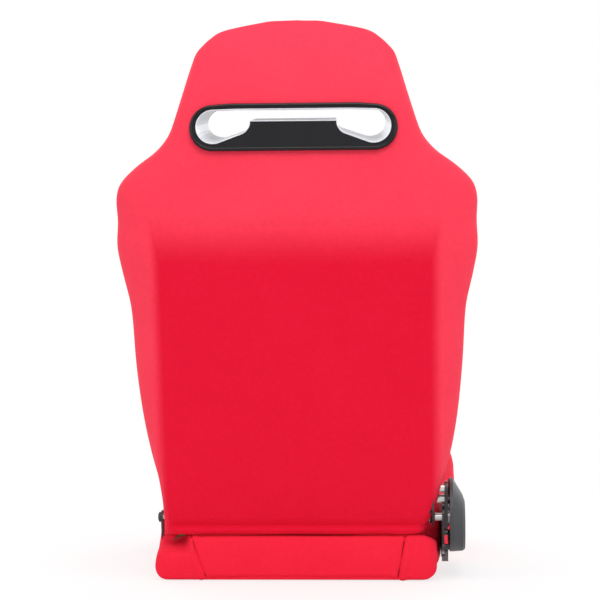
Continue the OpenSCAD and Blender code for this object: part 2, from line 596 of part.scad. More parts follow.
// domed form, whose top and rear slope in towards the outer face
module shroud_form(wall) {
  hull() {
    recliner_plate(shroud_in - (wall > 0 ? 1 : 0), 5) shroud_outline(wall);
    recliner_plate(shroud_in + 8, 1) shroud_outline(wall + 0.5, 5);
    recliner_plate(shroud_out - 5 - wall, 1) shroud_outline(wall + 1, 12);
    recliner_plate(shroud_out - 1 - wall, 1) shroud_outline(wall + 4, 16);
  }
}
post_r = 4.6;
module recliner_shroud() {
  color("darkslategray") difference() {
    union() {
      difference() {
        shroud_form(0);
        shroud_form(shroud_wall);
      }
      for (p = shroud_p) side_hole(p, post_r, -shroud_out + 1.5, -plate_in - plate_t);
    }
    for (p = shroud_p) side_hole(p, 2.1, -shroud_out - 1, -plate_in);
    for (p = shroud_p) side_hole(p, 4.4, -shroud_out - 1, -shroud_out + 5);
    lever_window();
  }
}
module lever_window() {
  recliner_plate(shroud_in - 1, lever_out - shroud_in + 6)
    translate(lever_p) polygon([[0, 12], [0, -16], [-90, -26], [-90, 52], [-40, 34]]);
}
module shroud_screws() {
  color("black") for (p = shroud_p) at_pivot() translate([-shroud_out + 1, p[0], p[1]])
    rotate([0, 90, 0]) {
      difference() {
        cylinder(h = 4, r = 4, $fn = 48);
        translate([-2.4, -0.5, -1]) cube([4.8, 1, 2.4]);
        translate([-0.5, -2.4, -1]) cube([1, 4.8, 2.4]);
      }
      cylinder(h = shroud_out - plate_in - 1, r = 2, $fn = 48);
    }
}
module plate_foot_cap() {
  color("gray") difference() {
    recliner_plate(plate_in - 0.2, plate_t + 6.2) hull() {
      dot([-18, -56], 3);
      dot([-18, -68], 3);
      dot([-4, -68], 3);
      dot([-4, -56], 3);
    }
    recliner_plate(plate_in - 0.1, plate_t + 0.2) translate([-60, -62]) square([100, 60]);
  }
}

/* modules: plain hinge on the other side */
module left_hinge_plate() {
  color("dimgray") difference() {
    union() {
      side_plate(left_in, left_t) hull() {
        dot([0, 0], 11);
        dot([-8, -46], 8);
      }
      side_plate(left_low + left_t - 0.5, left_in - left_low - left_t + 1) dot([-8, -46], 6.5);
      side_plate(left_low, left_t) {
        hull() {
          dot([-8, -46], 8);
          dot([-16, -60], 12);
        }
        hull() {
          dot([-16, -62], 14);
          for (p = left_foot_p) dot(p, 11);
        }
      }
    }
    side_hole([0, 0], pivot_r, left_low - 1, left_in + left_t + 1);
    for (p = left_foot_p) side_hole(p, 4.2, left_low - 1, left_in + left_t + 1);
  }
}
module left_pivot_bolt() {
  color("silver") at_pivot() rotate([0, 90, 0]) {
    translate([0, 0, frame_plate_out - 9])
      cylinder(h = left_in + left_t - frame_plate_out + 9, r = pivot_r, $fn = 48);
    translate([0, 0, frame_plate_out - 9]) cylinder(h = 3, r = pivot_r + 4, $fn = 6);
    translate([0, 0, left_in + left_t]) cylinder(h = 3.4, r = pivot_r + 0.6, $fn = 6);
  }
}
module left_pivot_cap() {
  color("black") at_pivot() rotate([0, 90, 0]) translate([0, 0, left_in + left_t]) difference() {
    union() {
      cylinder(h = 3.6, r = pivot_r + 2, $fn = 64);
      translate([0, 0, 3.6 - eps]) cylinder(h = 1.6, r1 = pivot_r + 2, r2 = pivot_r - 1, $fn = 64);
    }
    translate([0, 0, -1]) cylinder(h = 4.5, r = pivot_r + 0.6, $fn = 6);
  }
}

/* modules: backrest frame */
tube_y = rear_off - cloth_t - gap - 0.4 - board_t - hoop_r;   // hoop's depth behind the pivot
hoop_l = (shoulder_h - hoop_drop - pivot_h + tube_y * sin(back_lean)) / cos(back_lean);
hoop_path = [[-hoop_x, 22], [-hoop_x, hoop_l], [hoop_x, hoop_l], [hoop_x, 22]];
cross_levels = [60, hoop_l - 64];
module in_hoop_plane() { on_back() translate([0, tube_y, 0]) rotate([90, 0, 0]) children(); }
module frame_side_plate(x) {
  side_plate(x, 3) difference() {
    rotate(-back_lean) hull() {
      dot([0, 0], 15);
      dot([tube_y, 30], 9);
      dot([tube_y, 100], 9);
      dot([14, 62], 12);
    }
    dot([0, 0], pivot_r + 2);
    if (x < 0) for (p = spacer_p) dot(p, 4.2);
  }
}
module backrest_frame() {
  color("dimgray") {
    in_hoop_plane() bent_tube(hoop_path, hoop_r, 60, tube_wall);
    on_back() for (z = cross_levels) difference() {
      translate([-hoop_x, tube_y, z]) rotate([0, 90, 0]) difference() {
        cylinder(h = 2 * hoop_x, r = 8, $fn = 48);
        translate([0, 0, -1]) cylinder(h = 2 * hoop_x + 2, r = 8 - tube_wall, $fn = 48);
      }
      for (s = [-1, 1]) translate([s * hoop_x, tube_y, z - 30])
        cylinder(h = 60, r = hoop_r - 0.5, $fn = 48);
    }
    frame_side_plate(-frame_plate_out);
    frame_side_plate(frame_plate_out - 3);
  }
}
head_x = bezel_half_w + 8;
head_drop = 82;       // head hoop's top below the top of the backrest
head_tilt = 5;        // the head hoop leans forwards
hoop_top_y = tube_y * cos(back_lean) + hoop_l * sin(back_lean);
hoop_top_z = pivot_h - tube_y * sin(back_lean) + hoop_l * cos(back_lean);
head_l = (back_top_h - head_drop - hoop_top_z) / cos(head_tilt);
head_path = [[-head_x, 0], [-head_x, head_l], [head_x, head_l], [head_x, 0]];
module in_head_plane() {
  translate([0, pivot_back + hoop_top_y, hoop_top_z]) rotate([90 + head_tilt, 0, 0]) children();
}
module head_frame() {
  color("dimgray") difference() {
    in_head_plane() bent_tube(head_path, head_tube_r, head_bend, tube_wall - 0.5);
    translate([-hoop_x, pivot_back + hoop_top_y, hoop_top_z]) rotate([0, 90, 0])
      cylinder(h = 2 * hoop_x, r = hoop_r, $fn = 48);
  }
}
strap_t = 2.5;
strap_w = 44;
strap_from = 134;
strap_pitch = (hoop_l - 75 - strap_w / 2 - strap_from) / (back_strap_n - 1);
strap_fit = 0.1;
// elastic straps in front of the hoop, each with a half hook round its uprights
module back_straps() {
  color("black") on_back() for (i = [0 : back_strap_n - 1])
    translate([0, tube_y, strap_from + i * strap_pitch - strap_w / 2]) {
      translate([-hoop_x, -hoop_r - strap_fit - strap_t, 0]) cube([2 * hoop_x, strap_t, strap_w]);
      for (s = [-1, 1]) translate([s * hoop_x, 0, 0]) difference() {
        cylinder(h = strap_w, r = hoop_r + strap_fit + strap_t, $fn = 48);
        translate([0, 0, -1]) cylinder(h = strap_w + 2, r = hoop_r + strap_fit, $fn = 48);
        translate([-40, 0, -1]) cube([80, 40, strap_w + 2]);
      }
    }
}
board_l = (bend_h - pivot_h) / cos(back_lean) - 64;
board_from = 44;      // lower edge, clear of the relief beside the recliner
module back_board() {
  color("saddlebrown") on_back() translate([0, tube_y + hoop_r, 0]) rotate([90, 0, 0])
    mirror([0, 0, 1]) linear_extrude(board_t) hull() {
      for (s = [-1, 1]) {
        translate([s * (panel_w / 2 - 14), board_from + 12]) circle(8, $fn = 32);
        translate([s * (panel_w / 2 - 26), board_from + board_l - 28]) circle(20, $fn = 32);
      }
    }
}

/* modules: backrest upholstery */
pocket_gap = strap_t + 0.6;     // room round the hoop
module frame_pocket() {
  on_back() {
    translate([-hoop_x - hoop_r - pocket_gap, tube_y - hoop_r - pocket_gap, -40])
      cube([2 * (hoop_x + hoop_r + pocket_gap), 60, hoop_l + hoop_r + pocket_gap + 40]);
  }
  // open at the sides, for the frame's side plates and the pivots
  for (s = [-1, 1]) on_back() translate([s * (hoop_x + 38) - 41, -18, -60])
    cube([82, 70, 60 + 118]);
}
// square channel round the head hoop
head_bend = 45;
module head_pocket() {
  half = head_tube_r + 1;
  in_head_plane() translate([0, 0, -half]) linear_extrude(2 * half) difference() {
    head_channel(half);
    head_channel(-half);
  }
}
module head_channel(g) {
  hull() for (s = [-1, 1]) {
    translate([s * (head_x - head_bend), head_l - head_bend]) circle(head_bend + g, $fn = 48);
    translate([s * (head_x + g) - 1, -20]) square([2, 10]);
  }
}
module backrest_foam() {
  color("khaki") difference() {
    loft(back_rings(cloth_t + gap, crown_gap = 1));
    // level underside
    translate([-hem_w, pivot_back - hem_w / 2, hem_low - 9]) cube([2 * hem_w, hem_w, 10]);
    frame_pocket();
    head_pocket();
    harness_cut(liner_wall + gap);
    bezel_seats(1);
  }
}
// holes at the sides for the pivot bolts and the sector plate's spacers
module fixing_holes() {
  side_hole([0, 0], pivot_r + 5, -hoop_x - 60, hoop_x + 60);
  for (p = spacer_p) side_hole(p, 7.6, -hoop_x - 60, -hoop_x);
}
module backrest_cover() {
  color("crimson") difference() {
    loft(back_rings(0));
    loft(back_rings(cloth_t, 12));
    harness_cut(liner_wall + gap);
    bezel_seats(0);
    fixing_holes();
    // window in the recliner's side, where the frame's side plate stands out
    side_plate(-hoop_x - 60, 78 - hoop_r) rotate(-back_lean) hull() {
      dot([2, -2], 17);
      dot([8, 24], 18);
      dot([tube_y, 14], 15.5);
      dot([tube_y, 44], 15.5);
    }
  }
}

/* modules: recliner, moving side */
function polar(r, a) = r * [cos(a), sin(a)];
// row of teeth round the pivot: a root corner, two tip corners and a root corner for each
function teeth(n, from, tip, root, tip_a, root_a) = [for (i = [0 : n - 1])
  let (a = from + (i + 0.5) * tooth_pitch)
  each [polar(root, a - root_a / 2), polar(tip, a - tip_a / 2),
        polar(tip, a + tip_a / 2), polar(root, a + root_a / 2)]];
root_r = sector_r - tooth_h;
tip_a = 0.5;          // angle across a sector tooth's tip
root_a = 1.6;         // and across its root
flank_a = 0.2;        // angle left free on each flank in mesh
module recliner_sector_plate() {
  color("silver") recliner_plate(tooth_in, tooth_plate_t) difference() {
    union() {
      polygon([[0, 0], each teeth(sector_n, sector_from, sector_r, root_r, tip_a, root_a)]);
      dot([0, 0], 24);
      hull() { dot([4, 8], 20); dot(spacer_p[0], 13); dot(spacer_p[1], 11); dot([4, 44], 9); }
      polygon([[0, 0], [4, 50], polar(root_r, sector_from + (tooth_pitch - root_a) / 2)]);
    }
    dot([0, 0], pivot_r + run_gap);
    for (p = spacer_p) dot(p, bolt_r);
  }
  color("silver") side_hole([0, clock_out + clock_t / 2 + hook_r], hook_r,
    -tooth_out - part_gap - 3.4 - clock_w, -tooth_out + 1);
}
module sector_spacers() {
  color("silver") for (p = spacer_p) at_pivot()
    translate([-frame_plate_out, p[0], p[1]]) rotate([0, -90, 0]) difference() {
      cylinder(h = tooth_in - frame_plate_out, r = 7, $fn = 48);
      translate([0, 0, -1]) cylinder(h = 40, r = bolt_r + 0.2, $fn = 48);
    }
}
module sector_bolts() {
  color("gray") for (p = spacer_p)
    bolt(p, -frame_plate_out + 3, tooth_out - frame_plate_out + 3, bolt_r, 4);
}
module pivot_bushes() {
  color("black") for (s = [-1, 1]) at_pivot()
    translate([s * (frame_plate_out - 5.5), 0, 0]) rotate([0, s * 90, 0]) difference() {
      union() {
        cylinder(h = 2.5, r = pivot_r + 4, $fn = 48);
        cylinder(h = 7.5, r = pivot_r + 2, $fn = 48);
      }
      translate([0, 0, -1]) cylinder(h = 12, r = pivot_r + run_gap, $fn = 48);
    }
}
clock_w = 5;
clock_in = pivot_r + 1.8;
clock_out = 30;
clock_t = 1.2;
hook_r = 1.6;         // pin that holds the spring's outer end
function clock_r(a) = lerp(clock_in, clock_out, a / (clock_turns * 360));
function spiral(off) = [for (a = [0 : 12 : clock_turns * 360])
  (clock_r(a) + off) * [cos(a + 90), sin(a + 90)]];
module clock_spring() {
  color("slategray") recliner_plate(tooth_out + part_gap + 3.2, clock_w) {
    polygon(concat(spiral(-clock_t / 2), [for (i = [len(spiral(0)) - 1 : -1 : 0])
      spiral(clock_t / 2)[i]]));
  }
}

/* modules: lever and pawl */
lever_bend = [[0, 0], [-30, -6], [-62, 4], [-lever_l + 12, 14]];
module release_lever() {
  color("dimgray") {
    recliner_plate(lever_in, lever_t) translate(lever_p) difference() {
      union() {
        dot([0, 0], 11);
        for (i = [0 : len(lever_bend) - 2]) hull() {
          dot(lever_bend[i], 7);
          dot(lever_bend[i + 1], 7);
        }
        hull() { dot([0, 0], 8); dot(drive_pin - lever_p, 4.5); }
      }
      dot([0, 0], pin_r - 1 + run_gap);
    }
    at_pivot() translate([-lever_in, drive_pin[0], drive_pin[1]]) rotate([0, 90, 0])
      cylinder(h = lever_in - tooth_in - 0.5, r = drive_pin_r, $fn = 48);
  }
}
grip_from = -70;
module lever_grip() {
  color("black") difference() {
    recliner_plate(lever_in - 4, lever_t + 8) translate(lever_p) hull() {
      dot([grip_from, 6.5], 9);
      dot([-lever_l + 12, 14], 12);
    }
    recliner_plate(lever_in, lever_t) translate(lever_p) union()
      for (i = [1 : len(lever_bend) - 2]) hull() {
        dot(lever_bend[i], 7);
        dot(lever_bend[i + 1], 7);
      }
  }
}
tooth_gap = 0.25;     // between tips and roots in mesh
pawl_back_r = 57;     // outer edge of the pawl's head
module locking_pawl() {
  // the pawl's teeth stand opposite the sector's spaces
  middle = sector_from + tooth_pitch * round((contact_a - sector_from) / tooth_pitch);
  half = pawl_n * tooth_pitch / 2;
  row = teeth(pawl_n, middle - half, root_r + tooth_gap, sector_r + tooth_gap,
    tooth_pitch - root_a - 2 * flank_a, tooth_pitch - tip_a - 2 * flank_a);
  back = [for (a = [middle - half - 3 : 3 : middle + half]) polar(pawl_back_r, a)];
  neck = [pawl_p + polar(8.4, slot_a), pawl_p, polar(47.4, middle + half + 12),
    polar(46.4, middle + half + 3)];
  toothed = [for (i = [len(row) - 1 : -1 : 0]) row[i]];
  tail = [for (d = [[0, -1], [slot_d, -1], [slot_d, 1], [0, 1]])
    pawl_p + polar(d[0], slot_a) + polar(5.4 * d[1], slot_a + 90)];
  color("silver") recliner_plate(tooth_in, tooth_plate_t) difference() {
    union() {
      polygon(concat(back, neck, toothed, [polar(sector_r + tooth_gap, middle - half - 2)]));
      dot(pawl_p, 9);
      polygon(tail);
      dot(drive_pin, 4.6);
    }
    dot(pawl_p, pin_r - 1 + run_gap);
    hull() {
      dot(pawl_p + polar(slot_d - 1.6, slot_a), drive_pin_r + slot_gap);
      dot(pawl_p + polar(slot_d + 12, slot_a), drive_pin_r + slot_gap);
    }
  }
}
spring_coil_l = 5;
module lever_spring() {
  color("slategray") at_pivot() translate([-lever_out - 0.2, lever_p[0], lever_p[1]])
    rotate([0, -90, 0]) difference() {
      cylinder(h = spring_coil_l, r = 6, $fn = 48);
      translate([0, 0, -1]) cylinder(h = spring_coil_l + 2, r = 4.6, $fn = 48);
    }
}

/* modules: harness opening */
opening_half = bezel_half_w - rim_w - 1;
module lobes(g) {
  for (s = [-1, 1]) hull() {
    translate([s * (opening_half - 26), -27]) circle(26 + g, $fn = 28);
    translate([s * (opening_half - 62), -20]) circle(20 + g, $fn = 24);
  }
}
// outline with its top edge at zero
module opening_outline(g = 0) {
  lobes(g);
  translate([-opening_half + 62, -slot_h - g]) square([2 * opening_half - 124, slot_h + 2 * g]);
}
module bezel_outline(g = 0) {
  hull() for (s = [-1, 1]) {
    translate([s * (bezel_half_w - 31), -bezel_h + 31]) circle(31 + g, $fn = 48);
    translate([s * (bezel_half_w - 62), -9]) circle(9 + g, $fn = 32);
  }
}
bezel_mid_h = bezel_top_h - bezel_h / 2;
bezel_y = smooth(rear_keys, bezel_mid_h);
bezel_depth = bezel_y - smooth(front_keys, bezel_mid_h) + crown_d;
bezel_tilt = 6.6;     // the head's rear leans forwards
bezel_t = 3.5;
taper = [0.94, 0.86];
tunnel_rise = 20;     // rise of the tunnel's top edge on its way to the front
rise_y = tunnel_rise / (1 - taper[1]);
front_inset = 2;      // the front bezel is this much smaller all round
screw_p = [36, -38];  // screws that draw the bezels together
screw_r = 2;
// from the rear bezel's seat, with X across, Y up its face and Z towards the rear
module at_bezel() {
  translate([0, pivot_back + bezel_y, bezel_mid_h]) rotate([90 - bezel_tilt, 0, 180])
    translate([0, bezel_h / 2, 0]) children();
}
// tapered run towards the front, whose edges rise on the way
module tunnel_run(l, g) {
  k = l / bezel_depth;
  translate([0, rise_y - rim_w, 0]) mirror([0, 0, 1])
    linear_extrude(l, scale = [1 - (1 - taper[0]) * k, 1 - (1 - taper[1]) * k], slices = 1)
      translate([0, -rise_y]) opening_outline(g);
}
module harness_cut(g) {
  at_bezel() {
    tunnel_run(bezel_depth + 40, g);
    translate([0, -rim_w, -eps]) linear_extrude(30) opening_outline(g);
  }
}
// flat seats for the bezels, and the screws' holes
module bezel_seats(boss_gap) {
  at_bezel() {
    translate([0, 0, -0.05]) linear_extrude(30) bezel_outline(gap);
    translate([0, tunnel_rise, -bezel_depth + 0.05]) mirror([0, 0, 1])
      linear_extrude(30) bezel_outline(gap - front_inset);
    for (s = [-1, 1]) translate([s * screw_p[0], screw_p[1], 0]) {
      translate([0, 0, -bezel_depth - 30])
        cylinder(h = bezel_depth + 40, r = screw_r + 0.6, $fn = 24);
      translate([0, 0, -boss_l - boss_gap])
        cylinder(h = boss_l + boss_gap + 10, r = boss_r + 0.6, $fn = 24);
    }
  }
}
boss_l = 14;
boss_r = 4.5;
module harness_tunnel() {
  color("gainsboro") at_bezel() difference() {
    tunnel_run(bezel_depth, liner_wall);
    translate([0, 0, 0.5]) tunnel_run(bezel_depth + 1, 0);
  }
}
module harness_bezel_rear() {
  color("black") at_bezel() difference() {
    union() {
      linear_extrude(bezel_t) bezel_outline();
      translate([0, 0, bezel_t - eps]) linear_extrude(2) bezel_outline(-2);
      for (s = [-1, 1]) translate([s * screw_p[0], screw_p[1], -boss_l])
        cylinder(h = boss_l + 1, r = boss_r, $fn = 24);
    }
    translate([0, -rim_w, -5]) linear_extrude(12) opening_outline(0);
    for (s = [-1, 1]) translate([s * screw_p[0], screw_p[1], -boss_l - 1])
      cylinder(h = boss_l + 1, r = screw_r + 0.1, $fn = 24);
  }
}
module harness_bezel_front() {
  color("black") at_bezel() translate([0, 0, -bezel_depth - bezel_t]) difference() {
    translate([0, tunnel_rise, 0]) linear_extrude(bezel_t) bezel_outline(-front_inset);
    translate([0, rise_y - rim_w, -1]) linear_extrude(bezel_t + 2) scale(taper)
      translate([0, -rise_y]) opening_outline(0);
    for (s = [-1, 1]) translate([s * screw_p[0], screw_p[1], -1])
      cylinder(h = bezel_t + 2, r = screw_r + 0.1, $fn = 24);
  }
}
module bezel_screws() {
  color("gray") at_bezel() for (s = [-1, 1])
    translate([s * screw_p[0], screw_p[1], -bezel_depth - bezel_t - 2]) difference() {
      union() {
        cylinder(h = 2, r = 4, $fn = 24);
        cylinder(h = bezel_depth + bezel_t - 2, r = screw_r, $fn = 24);
      }
      translate([-2.4, -0.5, -1]) cube([4.8, 1, 2]);
      translate([-0.5, -2.4, -1]) cube([1, 4.8, 2]);
    }
}

/* modules: zip under the hem */
zip_y = 22;
zip_t = 1.4;
touch_gap = 0.1;
slider_x = zip_half_l - 8;
slider_t = 2.5;
eye_x = 4.7;          // pull's pin from the slider's middle
eye_drop = 1.9;       // and below its underside
eye_r = 0.7;
pull_l = 10;
pull_w = 5.8;
pull_t = 1.6;
pull_rest = 28;       // how far the pull hangs below the tape's line
zip_stop = 20;        // the tape ends this much earlier beside the recliner
module at_hem(drop) { translate([0, pivot_back + zip_y, hem_low - touch_gap - drop]) children(); }
module hem_zip() {
  color("maroon") at_hem(zip_t) translate([zip_stop - zip_half_l, -zip_w / 2, 0])
    cube([2 * zip_half_l - zip_stop, zip_w, zip_t]);
}
module zip_slider() {
  color("darkolivegreen") at_hem(zip_t + touch_gap + slider_t) translate([slider_x, 0, 0]) {
    difference() {
      translate([-6, -4.5, 0]) cube([12, 9, slider_t]);
      translate([-7, -0.8, 0.8]) cube([14, 1.6, slider_t]);
    }
    for (s = [-1, 1]) translate([eye_x - 1.6, s * (pull_w / 2 + 0.9) - 0.7, -eye_drop - 1.3])
      cube([3.2, 1.4, eye_drop + 1.4]);
    translate([eye_x, -pull_w / 2 - 0.9, -eye_drop]) rotate([-90, 0, 0])
      cylinder(h = pull_w + 1.8, r = eye_r, $fn = 24);
  }
}
module zip_pull() {
  color("darkolivegreen") at_hem(zip_t + touch_gap + slider_t + eye_drop)
    translate([slider_x + eye_x, 0, 0]) rotate([0, pull_rest, 0]) difference() {
      union() {
        translate([0, -pull_w / 2, -pull_t / 2]) cube([pull_l, pull_w, pull_t]);
        rotate([-90, 0, 0]) translate([0, 0, -pull_w / 2]) cylinder(h = pull_w, r = 1.6, $fn = 24);
      }
      rotate([-90, 0, 0]) translate([0, 0, -pull_w])
        cylinder(h = 2 * pull_w, r = eye_r + 0.15, $fn = 24);
      translate([pull_l - 2.6, 0, -pull_t]) cylinder(h = 2 * pull_t, r = 1.2, $fn = 24);
    }
}

mount_rails();
weld_nuts();
base_frame();
cross_tubes();
base_springs();
base_foam();
base_cover();
recliner_base_plate();
base_plate_spacers();
base_plate_bolts();
recliner_pivot_bolt();
pawl_pin();
lever_pin();
recliner_shroud();
shroud_screws();
plate_foot_cap();
left_hinge_plate();
left_pivot_bolt();
left_pivot_cap();
backrest_frame();
head_frame();
back_straps();
back_board();
backrest_foam();
backrest_cover();
recliner_sector_plate();
sector_spacers();
sector_bolts();
pivot_bushes();
harness_bezel_rear();
harness_bezel_front();
harness_tunnel();
bezel_screws();
hem_zip();
release_lever();
lever_grip();
locking_pawl();
clock_spring();
lever_spring();
zip_slider();
zip_pull();
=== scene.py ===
import bpy
import bmesh
import json
import math
import numpy as np
from mathutils import Vector, Matrix, Quaternion, noise


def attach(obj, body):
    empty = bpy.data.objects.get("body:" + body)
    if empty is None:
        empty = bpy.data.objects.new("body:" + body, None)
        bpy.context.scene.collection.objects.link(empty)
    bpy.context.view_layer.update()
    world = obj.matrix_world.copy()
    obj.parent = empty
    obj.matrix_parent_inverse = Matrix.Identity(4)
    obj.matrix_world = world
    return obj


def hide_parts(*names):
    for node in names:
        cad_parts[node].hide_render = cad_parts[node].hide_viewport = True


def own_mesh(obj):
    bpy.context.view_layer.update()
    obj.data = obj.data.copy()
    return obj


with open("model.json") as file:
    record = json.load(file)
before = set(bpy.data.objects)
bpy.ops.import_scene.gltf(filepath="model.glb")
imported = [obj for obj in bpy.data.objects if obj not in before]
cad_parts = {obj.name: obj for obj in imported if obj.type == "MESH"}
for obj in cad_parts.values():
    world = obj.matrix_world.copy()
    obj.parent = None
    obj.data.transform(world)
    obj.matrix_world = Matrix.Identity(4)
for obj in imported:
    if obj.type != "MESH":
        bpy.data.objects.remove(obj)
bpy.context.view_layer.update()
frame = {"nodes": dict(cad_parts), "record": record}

NODES = frame["nodes"]
MM = 0.001

# ---------------------------------------------------------------- real sizes, in mm
PIVOT_Y, PIVOT_Z = 235.0, 95.0
# backrest: heights above the floor, then full widths
HEM, TOP, WAIST, BEND, SHOULDER, NECK = 76.0, 868.0, 350.0, 534.0, 598.0, 702.0
LOW, MID = HEM + 0.45 * (WAIST - HEM), HEM + 0.82 * (WAIST - HEM)
HEM_W, WAIST_W, SHOULDER_W, NECK_W, HEAD_W, PANEL_W = 434.0, 504.0, 559.0, 373.0, 311.0, 412.0
LEAN, THICK, REAR_OFF = math.radians(13.8), 86.0, 53.0
# base: widths, reach in front of the pivot, and heights
BASE_REAR_W, BASE_FRONT_W, REACH, THIGH, CUSHION = 444.0, 500.0, 478.0, 206.0, 150.0
LIFT, REAR_FACE, BASE_CENTRE, BULGE = 1.0, 46.0, 150.0, 10.0
DRAWN_IN = 8.0         # how much its rear is drawn in beside the recliner
# bezel of the harness opening
BEZEL_HALF, BEZEL_H, RIM, SLOT_H, BEZEL_TOP = 157.0, 69.0, 9.0, 19.0, 739.0
# cloth starts this far inside its final place and is pressed out by the simulation
INSET = 2.6
PRESSURE, CLOTH_FRAMES = 4.0, 20
BACK_CAP, BASE_CAP = 0.007, 0.006   # the furthest it may move, in m


def lean_y(h):
    """The leaning rear face of the backrest at a height, behind the pivot."""
    return (REAR_OFF + (h - PIVOT_Z) * math.sin(LEAN)) / math.cos(LEAN)


def smooth(k, s):
    """Smooth curve through the keys of k, read at s."""
    i = 0
    while i < len(k) - 2 and s >= k[i + 1][0]:
        i += 1
    h = k[i + 1][0] - k[i][0]
    t = (s - k[i][0]) / h

    def slope(j):
        a, b = max(j - 1, 0), min(j + 1, len(k) - 1)
        return (k[b][1] - k[a][1]) / (k[b][0] - k[a][0])
    return ((2 * t ** 3 - 3 * t ** 2 + 1) * k[i][1] + (t ** 3 - 2 * t ** 2 + t) * h * slope(i)
            + (3 * t ** 2 - 2 * t ** 3) * k[i + 1][1] + (t ** 3 - t ** 2) * h * slope(i + 1))


def lerp(a, b, t):
    return a + (b - a) * t


def ramp(a, b, x):
    """Soft step from 0 at a to 1 at b."""
    t = min(max((x - a) / (b - a), 0.0), 1.0)
    return t * t * (3 - 2 * t)


def bell(d, width):
    return math.exp(-(d / width) ** 2)


# ---------------------------------------------------------------- backrest, by height
BY = lean_y(BEND)
back_w = [[HEM - 4, HEM_W / 2 - 5], [HEM + 6, HEM_W / 2], [HEM + 50, HEM_W / 2 + 4],
          [LOW - 24, HEM_W / 2 + 12], [LOW + 44, HEM_W / 2 + 24], [MID, WAIST_W / 2 - 4],
          [WAIST, WAIST_W / 2], [WAIST + 80, WAIST_W / 2 + 4], [WAIST + 130, WAIST_W / 2 + 15],
          [BEND - 10, WAIST_W / 2 + 25],
          [SHOULDER - 34, SHOULDER_W / 2 - 3], [SHOULDER, SHOULDER_W / 2],
          [SHOULDER + 24, SHOULDER_W / 2 - 7], [SHOULDER + 50, SHOULDER_W / 2 - 34],
          [SHOULDER + 68, SHOULDER_W / 2 - 60], [NECK - 16, NECK_W / 2 + 14],
          [NECK, NECK_W / 2 + 5], [NECK + 46, NECK_W / 2 - 10], [TOP - 68, HEAD_W / 2 + 6],
          [TOP - 48, HEAD_W / 2 - 1], [TOP - 37, HEAD_W / 2 - 10], [TOP - 25, HEAD_W / 2 - 23],
          [TOP - 13, HEAD_W / 2 - 44], [TOP, HEAD_W / 2 - 108]]
# how much the recliner's side is drawn in beside the hem
relief = [[HEM - 4, 17], [HEM + 8, 15.5], [HEM + 17, 12.5], [HEM + 33, 6.5], [HEM + 50, 2],
          [HEM + 76, 0], [TOP, 0]]
# the hem's lip stands under a groove
rear = [[HEM - 4, 41], [HEM - 1, 47.5], [HEM + 3, 49.8], [HEM + 6.5, 48.6], [HEM + 9.5, 44.6],
        [HEM + 12.5, 44.8], [HEM + 17, 49], [HEM + 24, lean_y(HEM + 24) - 1.4],
        [HEM + 36, lean_y(HEM + 36)], [LOW, lean_y(LOW)], [MID, lean_y(MID)],
        [WAIST + 50, lean_y(WAIST + 50)], [BEND - 30, lean_y(BEND - 30)], [BEND + 12, BY + 1],
        [SHOULDER, BY + 8], [SHOULDER + 80, BY + 9], [NECK + 45, BY + 1], [TOP - 65, BY - 14],
        [TOP - 25, BY - 32], [TOP, BY - 53]]
# the front between the bolsters
front = [[HEM - 4, -8], [HEM + 4, -20], [HEM + 18, -28], [HEM + 54, -26],
         [LOW, lean_y(LOW) - THICK - 3], [MID, lean_y(MID) - THICK - 4],
         [WAIST + 50, lean_y(WAIST + 50) - THICK],
         [BEND, BY - THICK + 6], [SHOULDER, BY - THICK + 11],
         [SHOULDER + 80, BY - THICK + 6], [NECK + 45, BY - THICK + 2], [TOP - 65, BY - THICK],
         [TOP - 25, BY - THICK + 9], [TOP, BY - 70]]
# how far the side bolsters stand out, and their widths
bolster = [[HEM - 4, 8], [HEM + 18, 14], [HEM + 54, 28], [LOW, 62], [(LOW + MID) / 2, 82],
           [MID, 96], [WAIST, 108], [WAIST + 80, 112], [BEND - 30, 96], [SHOULDER - 20, 84],
           [SHOULDER + 30, 66], [NECK - 30, 30], [NECK + 8, 9], [TOP - 65, 12], [TOP, 3]]
bolster_w = [[HEM - 4, 22], [HEM + 54, 30], [LOW, 38], [WAIST, 46], [BEND, 54], [SHOULDER, 60],
             [NECK, 34], [TOP - 65, 26], [TOP, 14]]
# half widths of the middle panel in front and of the flat panel behind
centre = [[HEM - 4, 128], [LOW, 138], [WAIST, 150], [BEND, 158], [SHOULDER, 162],
          [NECK - 20, 128], [NECK + 45, 116], [TOP - 60, 104], [TOP, 32]]
flat = [[HEM - 4, PANEL_W / 2 - 8], [HEM + 24, PANEL_W / 2 - 6], [LOW, PANEL_W / 2],
        [WAIST + 50, PANEL_W / 2 + 4], [BEND - 30, PANEL_W / 2 - 2], [SHOULDER, PANEL_W / 2 - 18],
        [NECK - 40, 156], [NECK + 42, 152], [TOP - 56, 112], [TOP, 28]]
# rounding of the rear edges, and depth of the seams' channels in front
edge = [[HEM - 4, 24], [HEM + 54, 42], [LOW, 52], [BEND, 62], [SHOULDER, 66], [NECK, 44],
        [TOP - 45, 34], [TOP, 10]]
channel = [[HEM - 4, 5], [HEM + 54, 7], [NECK - 50, 7], [NECK - 18, 1.5], [NECK + 46, 1.5],
           [TOP - 70, 6], [TOP, 3]]
flank = [[0, 0], [0.35, 0.2], [0.75, 0.72], [1, 1]]

